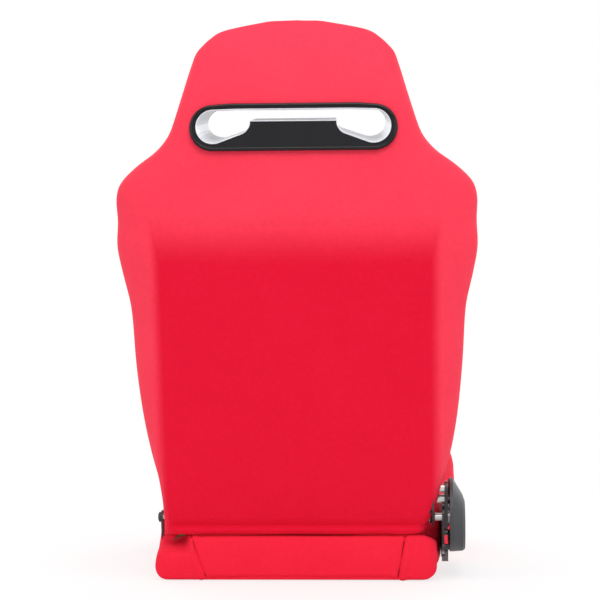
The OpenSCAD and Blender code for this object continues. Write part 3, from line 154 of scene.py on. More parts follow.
# ------------------------------------------------------ base, by distance behind the pivot
base_w = [[-REACH, BASE_FRONT_W / 2 - 40], [-REACH + 14, BASE_FRONT_W / 2 - 14],
          [-REACH + 50, BASE_FRONT_W / 2], [-300, BASE_FRONT_W / 2 - 3],
          [-238, BASE_REAR_W / 2 + 9], [-208, BASE_REAR_W / 2 + 1], [-168, BASE_REAR_W / 2],
          [-60, BASE_REAR_W / 2], [REAR_FACE - 14, BASE_REAR_W / 2],
          [REAR_FACE - 5, BASE_REAR_W / 2 - 2], [REAR_FACE, BASE_REAR_W / 2 - 8]]
# how much the cushion bulges over the plain hinge
bulge = [[-REACH, 0], [-330, 0], [-168, BULGE], [REAR_FACE, BULGE]]
# heights of the thigh bolsters and of the cushion between them
crown = [[-REACH, 108], [-REACH + 14, 142], [-REACH + 50, THIGH - 28], [-340, THIGH - 4],
         [-270, THIGH], [-200, THIGH - 13], [-150, 158], [-119, 134], [-79, 98], [-50, 74],
         [-30, 60.5], [-12, 53], [0, 46], [REAR_FACE - 36, 41], [REAR_FACE - 26, 43],
         [REAR_FACE - 18, 45], [REAR_FACE - 10, 47], [REAR_FACE - 4, 48], [REAR_FACE, 46]]
seat = [[-REACH, 104], [-REACH + 14, 136], [-REACH + 50, CUSHION], [-340, CUSHION - 10],
        [-250, CUSHION - 26], [-150, 110], [-100, 94], [-60, 74], [-30, 57], [-12, 49],
        [0, 42], [REAR_FACE - 36, 39], [REAR_FACE - 26, 41], [REAR_FACE - 18, 43],
        [REAR_FACE - 10, 45], [REAR_FACE - 4, 46], [REAR_FACE, 44]]
thigh_w = [[-REACH, 40], [-340, 64], [-200, 60], [-60, 34], [REAR_FACE, 24]]
thigh_flank = [[0, 0], [0.4, 0.22], [0.78, 0.75], [1, 1]]


# ---------------------------------------------------------------- upholstery meshes
def back_half(h, i):
    """Half of the backrest's section at a height, drawn in by i, from the middle of its rear."""
    w, r, f = smooth(back_w, h) - i, smooth(rear, h) - i, smooth(front, h) + i
    tip, bw, c = f - smooth(bolster, h), smooth(bolster_w, h), smooth(centre, h) + i
    k, e = min(smooth(flat, h), w - 18), smooth(edge, h)
    top = w + i - bw
    inner = top + i
    ch, cr = min(smooth(channel, h), (r - f) / 6), min(8.0, (r - f) / 8)
    p = [(k * j / 26, r) for j in range(26)]
    for j in range(9):
        a = math.pi / 2 * j / 9
        p.append((k + (w - k) * math.sin(a), r - e * (1 - math.cos(a))))
    for j in range(16):
        a = math.pi / 2 * j / 16
        p.append((top + (w - top) * math.cos(a), r - e - (r - e - tip) * math.sin(a)))
    for j in range(12):
        t = j / 12
        p.append((lerp(inner, c, t), lerp(tip, f + ch, smooth(flank, t))))
    for j in range(17):
        x = c * (1 - j / 16)
        p.append((x, f - cr * (1 - (x / c) ** 2) + ch * bell(c - x, 5.0)))
    return p


def mirror_ring(half, plain=1.0, recliner=1.0):
    """Both halves, with the shares that widen or narrow the plain and the recliner's side."""
    return [(x * plain, y) for x, y in half] + [(-x * recliner, y) for x, y in half[-2:0:-1]]


def steps():
    """Heights of the backrest's rings, closer together at the hem and at the top."""
    h, out = HEM - 4, []
    while h < TOP - 1e-6:
        out.append(h)
        if h < HEM + 24:
            h += 1.6
        elif h < TOP - 60:
            h += 6.5
        elif h < TOP - 16:
            h += 3.2
        else:
            h += 1.6 if h < TOP - 5 else 0.9
    out.append(TOP)
    return out


def mesh_object(name, verts, faces):
    me = bpy.data.meshes.new(name)
    me.from_pydata([tuple(v) for v in verts], [], faces)
    me.update()
    ob = bpy.data.objects.new(name, me)
    bpy.context.scene.collection.objects.link(ob)
    bm = bmesh.new()
    bm.from_mesh(me)
    bmesh.ops.recalc_face_normals(bm, faces=bm.faces)
    bm.to_mesh(me)
    bm.free()
    return ob


def tube_faces(m, n):
    """Faces between m rings of n points."""
    return [(j * n + i, j * n + (i + 1) % n, (j + 1) * n + (i + 1) % n, (j + 1) * n + i)
            for j in range(m - 1) for i in range(n)]


def end_faces(count, n):
    """The first and the last ring of n points, each as one face."""
    return [tuple(range(n)), tuple(range(count - 1, count - n - 1, -1))]


def close_end(verts, faces, first, n, rings, centre_of):
    """Closes an end with rings drawn in towards its middle line; each has a scale and a shift."""
    start_ring = [Vector(v) for v in verts[first:first + n]]
    prev = first
    for scale, (dy, dz) in rings:
        start = len(verts)
        for v in start_ring:
            m = centre_of(v)
            q = m + (v - m) * scale
            verts.append((q.x, q.y + dy, q.z + dz))
        faces += [(prev + i, prev + (i + 1) % n, start + (i + 1) % n, start + i) for i in range(n)]
        prev = start
    half = n // 2
    faces += [(prev + i, prev + i + 1, prev + n - i - 1, prev + (n - i) % n)
              for i in range(1, half - 1)]
    faces += [(prev, prev + 1, prev + n - 1), (prev + half - 1, prev + half, prev + half + 1)]


def coords(me):
    co = np.zeros(len(me.vertices) * 3)
    me.vertices.foreach_get("co", co)
    return co.reshape(-1, 3)


def set_coords(me, co):
    me.vertices.foreach_set("co", np.asarray(co, np.float32).ravel())
    me.update()


def inflate(ob, pin, cap):
    """Cloth under pressure, with pinned seams; the result is kept in the mesh."""
    rest = coords(ob.data)
    g = ob.vertex_groups.new(name="pin")
    for v, w in enumerate(pin):
        if w > 0.001:
            g.add([v], float(w), "REPLACE")
    mod = ob.modifiers.new("cloth", "CLOTH")
    st = mod.settings
    st.quality = 5
    st.mass = 0.35
    st.tension_stiffness = st.compression_stiffness = 12
    st.shear_stiffness = 6
    st.bending_stiffness = 0.6
    st.use_pressure = True
    st.uniform_pressure_force = PRESSURE
    st.vertex_group_mass = "pin"
    st.effector_weights.gravity = 0
    mod.point_cache.frame_start, mod.point_cache.frame_end = 1, CLOTH_FRAMES
    sc = bpy.context.scene
    for f in range(1, CLOTH_FRAMES + 1):
        sc.frame_set(f)
    ev = ob.evaluated_get(bpy.context.evaluated_depsgraph_get())
    new = coords(ev.to_mesh())
    ev.to_mesh_clear()
    ob.modifiers.remove(mod)
    sc.frame_set(1)
    d = new - rest
    size = np.linalg.norm(d, axis=1, keepdims=True)
    d *= np.minimum(1, cap / np.maximum(size, 1e-9))
    set_coords(ob.data, rest + d)
    ob.vertex_groups.clear()


def subdivide(ob):
    mod = ob.modifiers.new("sub", "SUBSURF")
    mod.levels = mod.render_levels = 1
    mod.boundary_smooth = "PRESERVE_CORNERS"
    apply(ob)


def apply(ob):
    dg = bpy.context.evaluated_depsgraph_get()
    me = bpy.data.meshes.new_from_object(ob.evaluated_get(dg))
    ob.modifiers.clear()
    ob.data = me


def shade(ob, angle):
    """Smooth shading with sharp edges above an angle in degrees."""
    for p in ob.data.polygons:
        p.use_smooth = True
    ob.data.set_sharp_from_angle(angle=math.radians(angle))


def normals(me):
    n = np.zeros(len(me.vertices) * 3)
    me.vertices.foreach_get("normal", n)
    return n.reshape(-1, 3)


START_INSET = INSET
levels = steps()
ring_len = len(mirror_ring(back_half(WAIST, 0)))
verts = []
for h in levels:
    narrow = 1 - smooth(relief, h) / smooth(back_w, h)
    ring = mirror_ring(back_half(h, START_INSET), recliner=narrow)
    for x, y in ring:
        verts.append((x * MM, (y + PIVOT_Y) * MM, h * MM))
faces = tube_faces(len(levels), ring_len)
TOP_LINE_Y, HEM_LINE_Y = (PIVOT_Y + BY - 61) * MM, (PIVOT_Y + 12) * MM
close_end(verts, faces, (len(levels) - 1) * ring_len, ring_len,
          [(0.75, (0, 0.0004)), (0.45, (0, 0.0006)), (0.2, (0, 0.0007))],
          lambda v: Vector((v.x * 0.55, TOP_LINE_Y, v.z)))
close_end(verts, faces, 0, ring_len, [(0.93, (0, 0)), (0.8, (0, 0))],
          lambda v: Vector((v.x * 0.8, HEM_LINE_Y, v.z)))
back = mesh_object("backrest_upholstery", verts, faces)


# ---- harness opening: its outline, and the place of the bezel
OPEN_HALF = BEZEL_HALF - RIM - 1
LOBE_R, NOTCH_R = 26, 20


def opening_outline(g):
    """The opening's outline, grown by g: two lobes joined by a slot."""
    a, ra, b, rb = (OPEN_HALF - LOBE_R, -27), LOBE_R + g, (OPEN_HALF - 62, -20), NOTCH_R + g
    d = math.hypot(a[0] - b[0], a[1] - b[1])
    phi = math.atan2(a[1] - b[1], a[0] - b[0])
    off = math.asin((ra - rb) / d)
    up, down = phi + math.pi / 2 + off, phi - math.pi / 2 - off
    pts = [(0, g), (b[0], g)]
    for j in range(25):
        t = up + (down - up) * j / 24
        pts.append((a[0] + ra * math.cos(t), a[1] + ra * math.sin(t)))
    low = math.pi + math.asin((SLOT_H + g - NOTCH_R) / rb)
    for j in range(9):
        t = down + 2 * math.pi + (low - down - 2 * math.pi) * j / 8
        pts.append((b[0] + rb * math.cos(t), b[1] + rb * math.sin(t)))
    pts.append((0, -SLOT_H - g))
    return pts + [(-x, y) for x, y in pts[-2:0:-1]]


BEZEL_MID = BEZEL_TOP - BEZEL_H / 2
BEZEL_Y = smooth(rear, BEZEL_MID)
TUNNEL = BEZEL_Y - smooth(front, BEZEL_MID) + 8
BEZEL_TILT, RISE = 6.6, 20.0          # the tunnel rises towards the front
NARROWS_X, NARROWS_Y = 0.06, 0.14      # and narrows by these shares
OPENING_CLEARANCE = 2.4
# from the rear bezel's seat, with X across, Y up its face and Z towards the rear, in mm
AT_BEZEL = (Matrix.Translation((0, (PIVOT_Y + BEZEL_Y) * MM, BEZEL_MID * MM))
            @ Matrix.Rotation(math.pi, 4, "Z")
            @ Matrix.Rotation(math.radians(90 - BEZEL_TILT), 4, "X")
            @ Matrix.Scale(MM, 4) @ Matrix.Translation((0, BEZEL_H / 2, 0)))
TO_BEZEL = AT_BEZEL.inverted()


def tunnel_cutter(g):
    """The way of the tunnel, straight behind the seat and tapered towards the front."""
    pts, v = opening_outline(g), []
    for depth in (-14, 0, TUNNEL + 40):
        t = max(depth, 0) / TUNNEL
        for x, y in pts:
            v.append(AT_BEZEL @ Vector((x * (1 - NARROWS_X * t),
                                        -RIM + y * (1 - NARROWS_Y * t) + RISE * t, -depth)))
    n = len(pts)
    return mesh_object("cutter", v, tube_faces(3, n) + end_faces(3 * n, n))


def rounded_box_distance(x, z, hx, hz, r):
    """Distance from a rounded rectangle's outline, negative inside it."""
    qx, qz = abs(x) - hx + r, abs(z) - hz + r
    return math.hypot(max(qx, 0), max(qz, 0)) + min(max(qx, qz), 0) - r


BEZEL_CORNER = 30
PRESSED = 12         # the cloth is pressed down within this distance of a bezel


def bezel_distance(x, z):
    return rounded_box_distance(x, z - BEZEL_MID, BEZEL_HALF, BEZEL_H / 2, BEZEL_CORNER)


def seat_bezels(co):
    """Presses the cloth flat where the two bezels lie on it."""
    for i, v in enumerate(co):
        q = TO_BEZEL @ Vector(v)
        if abs(q.x) > BEZEL_HALF + 14 or q.y > 40 or q.y < -BEZEL_H - 14:
            continue
        rear_d = rounded_box_distance(q.x, q.y + BEZEL_H / 2 + 2.5, BEZEL_HALF, BEZEL_H / 2 + 2.5,
                                      BEZEL_CORNER)
        front_d = rounded_box_distance(q.x, q.y + BEZEL_H / 2 - RISE, BEZEL_HALF - 2,
                                       BEZEL_H / 2 - 2, BEZEL_CORNER)
        if q.z > -20 and rear_d < PRESSED:
            q.z = min(q.z, -0.25 + 5 * ramp(0.5, PRESSED, rear_d) ** 1.5)
            co[i] = AT_BEZEL @ q
        elif q.z < -TUNNEL + 22 and front_d < PRESSED:
            q.z = max(q.z, -TUNNEL + 0.25 - 5 * ramp(0.5, PRESSED, front_d) ** 1.5)
            co[i] = AT_BEZEL @ q
    return co


def panel_distance(x, z):
    """Distance from the edge of the flat panel behind."""
    hx = 214 + 4 * ramp(260, 120, z)
    return rounded_box_distance(x, z - 270, hx, 282, 34)


SEAM_PIN_W = 6       # the cloth is held down this far beside a seam
co = coords(back.data) / MM
pin = np.zeros(len(co))
for i, (x, y, z) in enumerate(co):
    behind = y - PIVOT_Y > smooth(front, z) + 30
    p = 1 if z < HEM + 22 else 0.0
    if behind and abs(x) < 235:
        p = max(p, 0.9 * bell(panel_distance(x, z), SEAM_PIN_W))
        p = max(p, 1 - ramp(2, 20, bezel_distance(x, z)))
    if not behind:
        p = max(p, bell(abs(x) - smooth(centre, z), SEAM_PIN_W))
        p = max(p, 1 - ramp(2, 14, bezel_distance(x, z)))
    pin[i] = min(p, 1)
inflate(back, pin, BACK_CAP)
subdivide(back)

# the panel's seam, the waves of the hem and the softness of the cloth
co = coords(back.data)
nr = normals(back.data)
for i in range(len(co)):
    x, y, z = co[i] / MM
    behind = y - PIVOT_Y > smooth(front, min(z, TOP)) + 30
    d = 0.0
    if behind and nr[i][1] > 0.2:
        pd = panel_distance(x, z)
        above = ramp(470, 540, z)
        d -= lerp(1.5, 0.7, above) * bell(pd, lerp(2.6, 7, above))
        d += 0.9 * bell(pd - 7, 4.5) * (1 - above)
        hem = bell(z - (HEM + 3), 7)
        d += hem * 1.6 * noise.noise(Vector((x / 46, 3.1, 0)))
        d += 0.8 * hem * noise.noise(Vector((x / 15, 7.7, 0)))
        wave = 1.0 + 1.6 * noise.noise(Vector((x / 75, 1.9, 0)))
        co[i][2] += bell(z - (HEM + 1), 8) * wave * MM
    soft = noise.noise(Vector((x / 90, y / 90, z / 130))) * 0.7
    co[i] += nr[i] * (d + soft) * MM
set_coords(back.data, seat_bezels(co))

cutter = tunnel_cutter(OPENING_CLEARANCE)
mod = back.modifiers.new("cut", "BOOLEAN")
mod.operation, mod.object, mod.solver = "DIFFERENCE", cutter, "EXACT"
apply(back)
bpy.data.objects.remove(cutter)
shade(back, 55)


def base_half(s, i):
    """Half of the base's section at s, drawn in by i, from the middle of its underside."""
    w, h, m = smooth(base_w, s) - i, smooth(crown, s) - i, smooth(seat, s) - i
    tw, c = smooth(thigh_w, s), BASE_CENTRE + i
    top, z0 = w + i - tw * 0.68, LIFT
    ch, rise = min(7.0, m / 8), max(h, 20)
    p = [((w - 16) * j / 20, z0) for j in range(20)]
    for j in range(5):
        a = math.pi / 2 * j / 5
        p.append((w - 16 + 14 * math.sin(a), z0 + 13 * (1 - math.cos(a))))
    for j in range(10):
        t = j / 10
        x = lerp(w - 2, w, math.sin(t * math.pi / 2)) - tw * 0.06 * ramp(0.55, 1, t)
        p.append((x, lerp(z0 + 13, lerp(z0, rise, 0.72), t)))
    wx = w - tw * 0.06
    for j in range(12):
        a = math.pi / 2 * j / 12
        p.append((top + (wx - top) * math.cos(a),
                  lerp(lerp(z0, rise, 0.72), h, math.sin(a))))
    for j in range(10):
        t = j / 10
        p.append((lerp(top + i, c, t), lerp(h, m - ch, smooth(thigh_flank, t))))
    for j in range(17):
        x = c * (1 - j / 16)
        arch = 8 * min(1, max(0.25, -s / 60)) * (1 - (x / c) ** 2)
        p.append((x, m + arch - ch * bell(c - x, 5.5)))
    return p


stations = [-REACH, -REACH + 1.5, -REACH + 4, -REACH + 8, -REACH + 13, -REACH + 19, -REACH + 26]
while stations[-1] < REAR_FACE - 14:
    stations.append(stations[-1] + 6.5)
stations = [s for s in stations if s < REAR_FACE - 12] + [REAR_FACE - d for d in (11, 8, 5.5, 4)]
b_len = len(mirror_ring(base_half(-100, 0)))
verts = []
for s in stations:
    wide = 1 + smooth(bulge, s) / smooth(base_w, s)
    narrow = 1 - DRAWN_IN * ramp(-130, -30, s) / smooth(base_w, s)
    for x, z in mirror_ring(base_half(s, START_INSET), plain=wide, recliner=narrow):
        verts.append((x * MM, (PIVOT_Y + s) * MM, z * MM))
faces = tube_faces(len(stations), b_len)
close_end(verts, faces, (len(stations) - 1) * b_len, b_len,
          [(0.85, (0.0004, 0)), (0.62, (0.0006, 0)), (0.35, (0.0008, 0)), (0.1, (0.0008, 0))],
          lambda v: Vector((v.x * 0.93, v.y, 0.016)))
close_end(verts, faces, 0, b_len,
          [(0.94, (-0.002, 0)), (0.8, (-0.004, 0)), (0.6, (-0.006, 0)), (0.35, (-0.007, 0)),
           (0.1, (-0.007, 0))],
          lambda v: Vector((v.x * 0.93, v.y, 0.055)))
base = mesh_object("base_upholstery", verts, faces)


def seam_distance(x, z, s):
    """From the seam between the cushion's middle and a side, which bows out at the rear."""
    low, high = (157, 178) if x > 0 else (145, 154)
    behind = lerp(low, high, ramp(6, 50, z))
    return abs(x) - lerp(lerp(BASE_CENTRE, high, ramp(-60, -10, s)), behind, ramp(20, 40, s))


co = coords(base.data) / MM
pin = np.zeros(len(co))
for i, (x, y, z) in enumerate(co):
    s = y - PIVOT_Y
    p = 1.0 if z < LIFT + 4 + INSET else 0.0
    if z > LIFT + 10:
        p = max(p, bell(abs(x) - BASE_CENTRE, SEAM_PIN_W))
    if s > REAR_FACE - 40:
        p = max(p, 0.5)
    pin[i] = min(p, 1)
inflate(base, pin, BASE_CAP)
subdivide(base)
co = coords(base.data)
nr = normals(base.data)
for i in range(len(co)):
    x, y, z = co[i] / MM
    s = y - PIVOT_Y
    d = 0.0
    if s > -34 and z > LIFT + 2:
        sd = seam_distance(x, z, s)
        fade = ramp(-34, -14, s)
        d -= fade * 3.0 * bell(sd, 2.2)
        d += fade * 1.4 * bell(sd - 9, 7)
        d += fade * 0.6 * bell(sd + 6, 4)
    soft = noise.noise(Vector((x / 70, y / 70, z / 70))) * 0.8
    lim = 0 if z < LIFT + 3 else 1
    co[i] += nr[i] * (d + soft) * lim * MM
co[:, 2] = np.maximum(co[:, 2], LIFT * MM * 0.6)
set_coords(base.data, co)
shade(base, 60)


# ---- rear panel of the base: a padded strip across the seat, sewn in three parts
PANEL_TOP = [[-222, 58], [-210, 66], [-196, 69], [-170, 69.5], [-60, 70], [60, 70], [150, 68.6],
             [166, 69], [180, 70.5], [200, 70.5], [216, 70], [232, 70]]
PANEL_FRONT, PANEL_REAR = 24.0, 46.2
END_ROUND, END_LIFT, END_DROP, END_BACK = 22, 18, 5, 14   # how its two ends are rounded off
FOOT_R, CROWN_R, CROWN_DEPTH = 6, 9, 7.5                  # its lower edge and its padded top


def seam_x(x, z):
    """Where the seam of that side runs, which leans outwards as it rises."""
    low, high = (148.5, 170) if x > 0 else (153, 163)
    return lerp(low, high, (z - 6) / 56)


def drawn_in_at(x, z):
    """How far the plain side's upper corner leans inwards."""
    return 8 * ramp(150, 225, abs(x)) * ramp(20, 68, z) if x > 0 else 0


def panel_profile(x):
    """The strip's section across its depth at x, from its lower front edge."""
    side = BASE_REAR_W / 2 + (BULGE - 2 if x > 0 else -DRAWN_IN)
    e = min(max((abs(x) - side + END_ROUND) / END_ROUND, 0), 1)
    k = 1 - math.sqrt(1 - e * e)
    lobe = ramp(138, 158, abs(x))
    zb = lerp(5.6, 1.3, lobe) + END_LIFT * k
    zt = max(smooth(PANEL_TOP, x) + 2.0 * lobe * bell(abs(x) - 188, 16) * (x < 0) - END_DROP * k,
             zb + 8)
    rear_s = PANEL_REAR - END_BACK * k
    p = [(PANEL_FRONT, zb + 3), (PANEL_FRONT + 3, zb + 0.4), (lerp(PANEL_FRONT, rear_s, 0.5), zb)]
    for j in range(5):
        a = math.pi / 2 * j / 5
        p.append((rear_s - FOOT_R + FOOT_R * math.sin(a), zb + FOOT_R * (1 - math.cos(a))))
    top = zt - CROWN_R
    for j in range(16):
        u = j / 15
        belly = (1.6 + 1.2 * lobe) * math.sin(math.pi * u) * (1 - k)
        p.append((rear_s + belly, lerp(zb + FOOT_R, top, u)))
    for j in range(1, 9):
        a = math.pi * j / 9
        p.append((rear_s - CROWN_DEPTH * (1 - math.cos(a)), top + CROWN_R * math.sin(a)))
    p += [(rear_s - 15.4, top - 3), (rear_s - 16.4, top - 9), (PANEL_FRONT + 1, lerp(zb, top, 0.5))]
    return p


def panel_xs():
    """Places of the sections, closer together at the seams and at the ends."""
    xs, x = [], -BASE_REAR_W / 2 + DRAWN_IN - 0.5
    while x < BASE_REAR_W / 2 + BULGE - 2:
        xs.append(x)
        a = abs(x)
        x += 1.3 if 142 < a < 176 else 1.2 if a > 203 else 3.6
    return xs + [BASE_REAR_W / 2 + BULGE - 1.6]


xs = panel_xs()
verts, depth = [], []
for x in xs:
    for s, z in panel_profile(x):
        sd = abs(x) - seam_x(x, z)
        fade = ramp(20, 34, s)
        d = -3.6 * bell(sd, 1.8) + 1.6 * bell(sd - 8, 6)
        d += 0.7 * bell(sd + 6, 4.5)
        pucker = bell(z - 12, 9) * bell(sd, 7)
        d += 1.8 * pucker * noise.noise(Vector((x / 3.4, z / 3.4, 2.2)))
        d += 0.9 * noise.noise(Vector((x / 60, z / 34, 5.5)))
        d += 0.35 * noise.noise(Vector((x / 17, z / 12, 1.5)))
        hollow = 31 * ramp(170, 186, x) * ramp(40, 62, z)   # where the zip's pull hangs
        verts.append(((x - drawn_in_at(x, z)) * MM, (PIVOT_Y + s - hollow) * MM, z * MM))
        depth.append(d * fade)
pn = len(panel_profile(0))
rear_panel = mesh_object("base_rear_panel", verts,
                         tube_faces(len(xs), pn) + end_faces(len(verts), pn))
co, nr = coords(rear_panel.data), normals(rear_panel.data)
set_coords(rear_panel.data, co + nr * np.array(depth)[:, None] * MM)
subdivide(rear_panel)
shade(rear_panel, 60)


def cord_mesh(name, path, radius, sides=8):
    """A thin round cord along a path that runs mostly up and down, in mm."""
    v = []
    for x, s, z in path:
        for j in range(sides):
            a = 2 * math.pi * j / sides
            v.append(((x + radius * math.cos(a)) * MM, (PIVOT_Y + s + radius * math.sin(a)) * MM,
                      z * MM))
    return mesh_object(name, v, tube_faces(len(path), sides) + end_faces(len(v), sides))


def seam_shade_path(side):
    """The way of a dark cord along the rear panel's seam on one side, which paints the shade in the
    seam's groove.
    """
    path = []
    for j in range(26):
        z = lerp(7, 62, j / 25)
        wobble = 0.5 * noise.noise(Vector((z / 5, side * 3.0, 0.4)))
        x = side * (seam_x(side, z) - drawn_in_at(side * seam_x(side, z), z) + wobble)
        path.append((x, PANEL_REAR - 2.6 + 2.2 * math.sin(math.pi * (j + 1) / 27), z))
    return path


# dark cords along the rear panel's two seams paint the shade of the seams' grooves
CORD_R = 0.95
seam_shade_cords = []
for side, word in ((1, "plain"), (-1, "recliner")):
    cord = cord_mesh("base_seam_painted_shade_" + word, seam_shade_path(side), CORD_R)
    shade(cord, 60)
    seam_shade_cords.append(cord)


# ---- bezel round the harness opening: a rounded rim, a flat field and a lip at the opening
BEZEL_DROP, BEZEL_EXTRA = 1.5, 3.5   # it reaches a little lower than its flat seat
END_R, TOP_R = 35.2, 9
# each ring's growth of the outline and its height above the seat
RIM_RINGS = [(0, -0.6), (0, 0.9), (-0.35, 2.1), (-1.1, 3.3), (-2.2, 4.2), (-3.3, 4.5), (-4.3, 4.2),
             (-5.0, 3.4), (-5.3, 2.9)]
LIP_RINGS = [(2.0, 2.9), (1.7, 3.4), (1.0, 3.8), (0.4, 3.6), (0.1, 3.0), (0.1, -2.0)]
TRIM_RINGS = [(0.3, 2.6), (0.2, 3.6), (-0.4, 3.9), (-1.0, 3.5), (-1.2, 2.6), (-1.2, -1.0),
              (0.3, -1.0)]


def bezel_outline(g):
    """The bezel's outline, grown by g: round ends and a flat top with soft corners."""
    big, small = (BEZEL_HALF - END_R, END_R - BEZEL_H - BEZEL_EXTRA), (BEZEL_HALF - 61, -TOP_R)
    dx, dy = big[0] - small[0], big[1] - small[1]
    meet = math.atan2(dy, dx) + math.acos((TOP_R - END_R) / math.hypot(dx, dy))
    pts = [(small[0] * j / 8, g) for j in range(8)]
    for j in range(4):
        a = lerp(math.pi / 2, meet, j / 3)
        pts.append((small[0] + (TOP_R + g) * math.cos(a), small[1] + (TOP_R + g) * math.sin(a)))
    for j in range(33):
        a = lerp(meet, -math.pi / 2, j / 32)
        pts.append((big[0] + (END_R + g) * math.cos(a), big[1] + (END_R + g) * math.sin(a)))
    pts += [(big[0] * (1 - j / 10), -BEZEL_H - BEZEL_EXTRA - g) for j in range(1, 11)]
    return pts + [(-x, y) for x, y in pts[-2:0:-1]]


def ring_verts(points, z, y0=0.0):
    return [AT_BEZEL @ Vector((x, y + y0 - BEZEL_DROP, z)) for x, y in points]


def closed_strip(name, loops):
    """A strip through loops of equal length, joined back to the first."""
    n, m = len(loops[0]), (len(loops) - 1) * len(loops[0])
    faces = tube_faces(len(loops), n)
    faces += [(m + i, m + (i + 1) % n, (i + 1) % n, i) for i in range(n)]
    return mesh_object(name, [q for loop in loops for q in loop], faces)


def add_loops(bm, loops):
    made = [[bm.verts.new(q) for q in loop] for loop in loops]
    for a, b in zip(made, made[1:]):
        for i in range(len(a)):
            j = (i + 1) % len(a)
            bm.faces.new((a[i], a[j], b[j], b[i]))
    return made


def fill_between(bm, *loops):
    edges = [bm.edges.get((loop[i], loop[(i + 1) % len(loop)]))
             for loop in loops for i in range(len(loop))]
    bmesh.ops.triangle_fill(bm, edges=edges, use_beauty=True)


bm = bmesh.new()
outer = add_loops(bm, [ring_verts(bezel_outline(g), z) for g, z in RIM_RINGS])
inner = add_loops(bm, [ring_verts(opening_outline(g), z, -RIM) for g, z in LIP_RINGS])
fill_between(bm, outer[-1], inner[0])
fill_between(bm, outer[0], inner[-1])
bmesh.ops.recalc_face_normals(bm, faces=bm.faces)
me = bpy.data.meshes.new("bezel_rim")
bm.to_mesh(me)
bm.free()
bezel = bpy.data.objects.new("bezel_rim", me)
bpy.context.scene.collection.objects.link(bezel)
shade(bezel, 40)
edge_trim = closed_strip("bezel_edge_trim",
                         [ring_verts(opening_outline(g), z, -RIM) for g, z in TRIM_RINGS])
shade(edge_trim, 40)


# ---------------------------------------------------------------- materials
def tree(name):
    """A material with its node tree and its main shader."""
    m = bpy.data.materials.new(name)
    m.use_nodes = True
    t = m.node_tree
    b = t.nodes["Principled BSDF"]
    return m, t, b


def node(t, kind, **inputs):
    n = t.nodes.new(kind)
    for k, v in inputs.items():
        n.inputs[k.replace("_", " ")].default_value = v
    return n


def obj_coords(t):
    return t.nodes.new("ShaderNodeTexCoord").outputs["Object"]


def mix_colour(t, fac, a, b):
    n = t.nodes.new("ShaderNodeMix")
    n.data_type = "RGBA"
    n.inputs["A"].default_value = (*a, 1)
    n.inputs["B"].default_value = (*b, 1)
    t.links.new(fac, n.inputs["Factor"])
    return n.outputs["Result"]


def bump(t, b, height, strength, distance):
    n = t.nodes.new("ShaderNodeBump")
    n.inputs["Strength"].default_value = strength
    n.inputs["Distance"].default_value = distance
    t.links.new(height, n.inputs["Height"])
    t.links.new(n.outputs["Normal"], b.inputs["Normal"])


def map_range(t, src, lo, hi):
    n = node(t, "ShaderNodeMapRange", To_Min=lo, To_Max=hi)
    t.links.new(src, n.inputs["Value"])
    return n.outputs["Result"]


def soft_step(t, src, start, end, low=0.0, high=1.0):
    """A smooth change from low to high as the value goes from start to end."""
    n = node(t, "ShaderNodeMapRange", From_Min=start, From_Max=end, To_Min=low, To_Max=high)
    n.interpolation_type = "SMOOTHSTEP"
    t.links.new(src, n.inputs["Value"])
    return n.outputs["Result"]


def mix_shaders(t, fac, a, b):
    n = t.nodes.new("ShaderNodeMixShader")
    for source, socket in ((fac, n.inputs["Fac"]), (a, n.inputs[1]), (b, n.inputs[2])):
        t.links.new(source, socket)
    return n.outputs["Shader"]


def add(t, a, b, op="ADD"):
    n = t.nodes.new("ShaderNodeMath")
    n.operation = op
    t.links.new(a, n.inputs[0])
    if isinstance(b, float):
        n.inputs[1].default_value = b
    else:
        t.links.new(b, n.inputs[1])
    return n.outputs[0]


def cloth(name, dark, light, scale=520, rough=0.8, sheen=0.2, tint=(1, 0.55, 0.6), painted_light_tones=None):
    """Knitted cloth; an optional pair of lighter tones paints light and sheen on the backrest's
    rounded sides and above its bend, outside its flat panel.
    """
    m, t, b = tree(name)
    uv = obj_coords(t)
    knit = node(t, "ShaderNodeTexVoronoi", Scale=float(scale))
    knit.feature = "F1"
    fibre = node(t, "ShaderNodeTexNoise", Scale=float(scale) * 2.4, Detail=3.0)
    blotch = node(t, "ShaderNodeTexNoise", Scale=9.0, Detail=4.0, Roughness=0.6)
    fleck = node(t, "ShaderNodeTexNoise", Scale=150.0, Detail=2.0)
    for n in (knit, fibre, blotch, fleck):
        t.links.new(uv, n.inputs["Vector"])
    tone = add(t, add(t, blotch.outputs["Fac"], 0.55, "MULTIPLY"),
               add(t, fleck.outputs["Fac"], 0.45, "MULTIPLY"))
    colour = mix_colour(t, tone, dark, light)
    # lighter tones paint the light and sheen that fall on the rounded sides and the upper back
    if painted_light_tones:
        n = t.nodes.new("ShaderNodeMix")
        n.data_type = "RGBA"
        t.links.new(painted_light_mask(t), n.inputs["Factor"])
        t.links.new(colour, n.inputs["A"])
        t.links.new(mix_colour(t, tone, *painted_light_tones), n.inputs["B"])
        colour = n.outputs["Result"]
    t.links.new(colour, b.inputs["Base Color"])
    t.links.new(map_range(t, fibre.outputs["Fac"], rough - 0.06, rough + 0.08),
                b.inputs["Roughness"])
    h = add(t, knit.outputs["Distance"], add(t, fibre.outputs["Fac"], 0.5, "MULTIPLY"))
    bump(t, b, h, 0.35, 0.0006)
    b.inputs["Sheen Weight"].default_value = sheen
    b.inputs["Sheen Roughness"].default_value = 0.45
    b.inputs["Sheen Tint"].default_value = (*tint, 1)
    b.inputs["Specular IOR Level"].default_value = 0.08
    return m


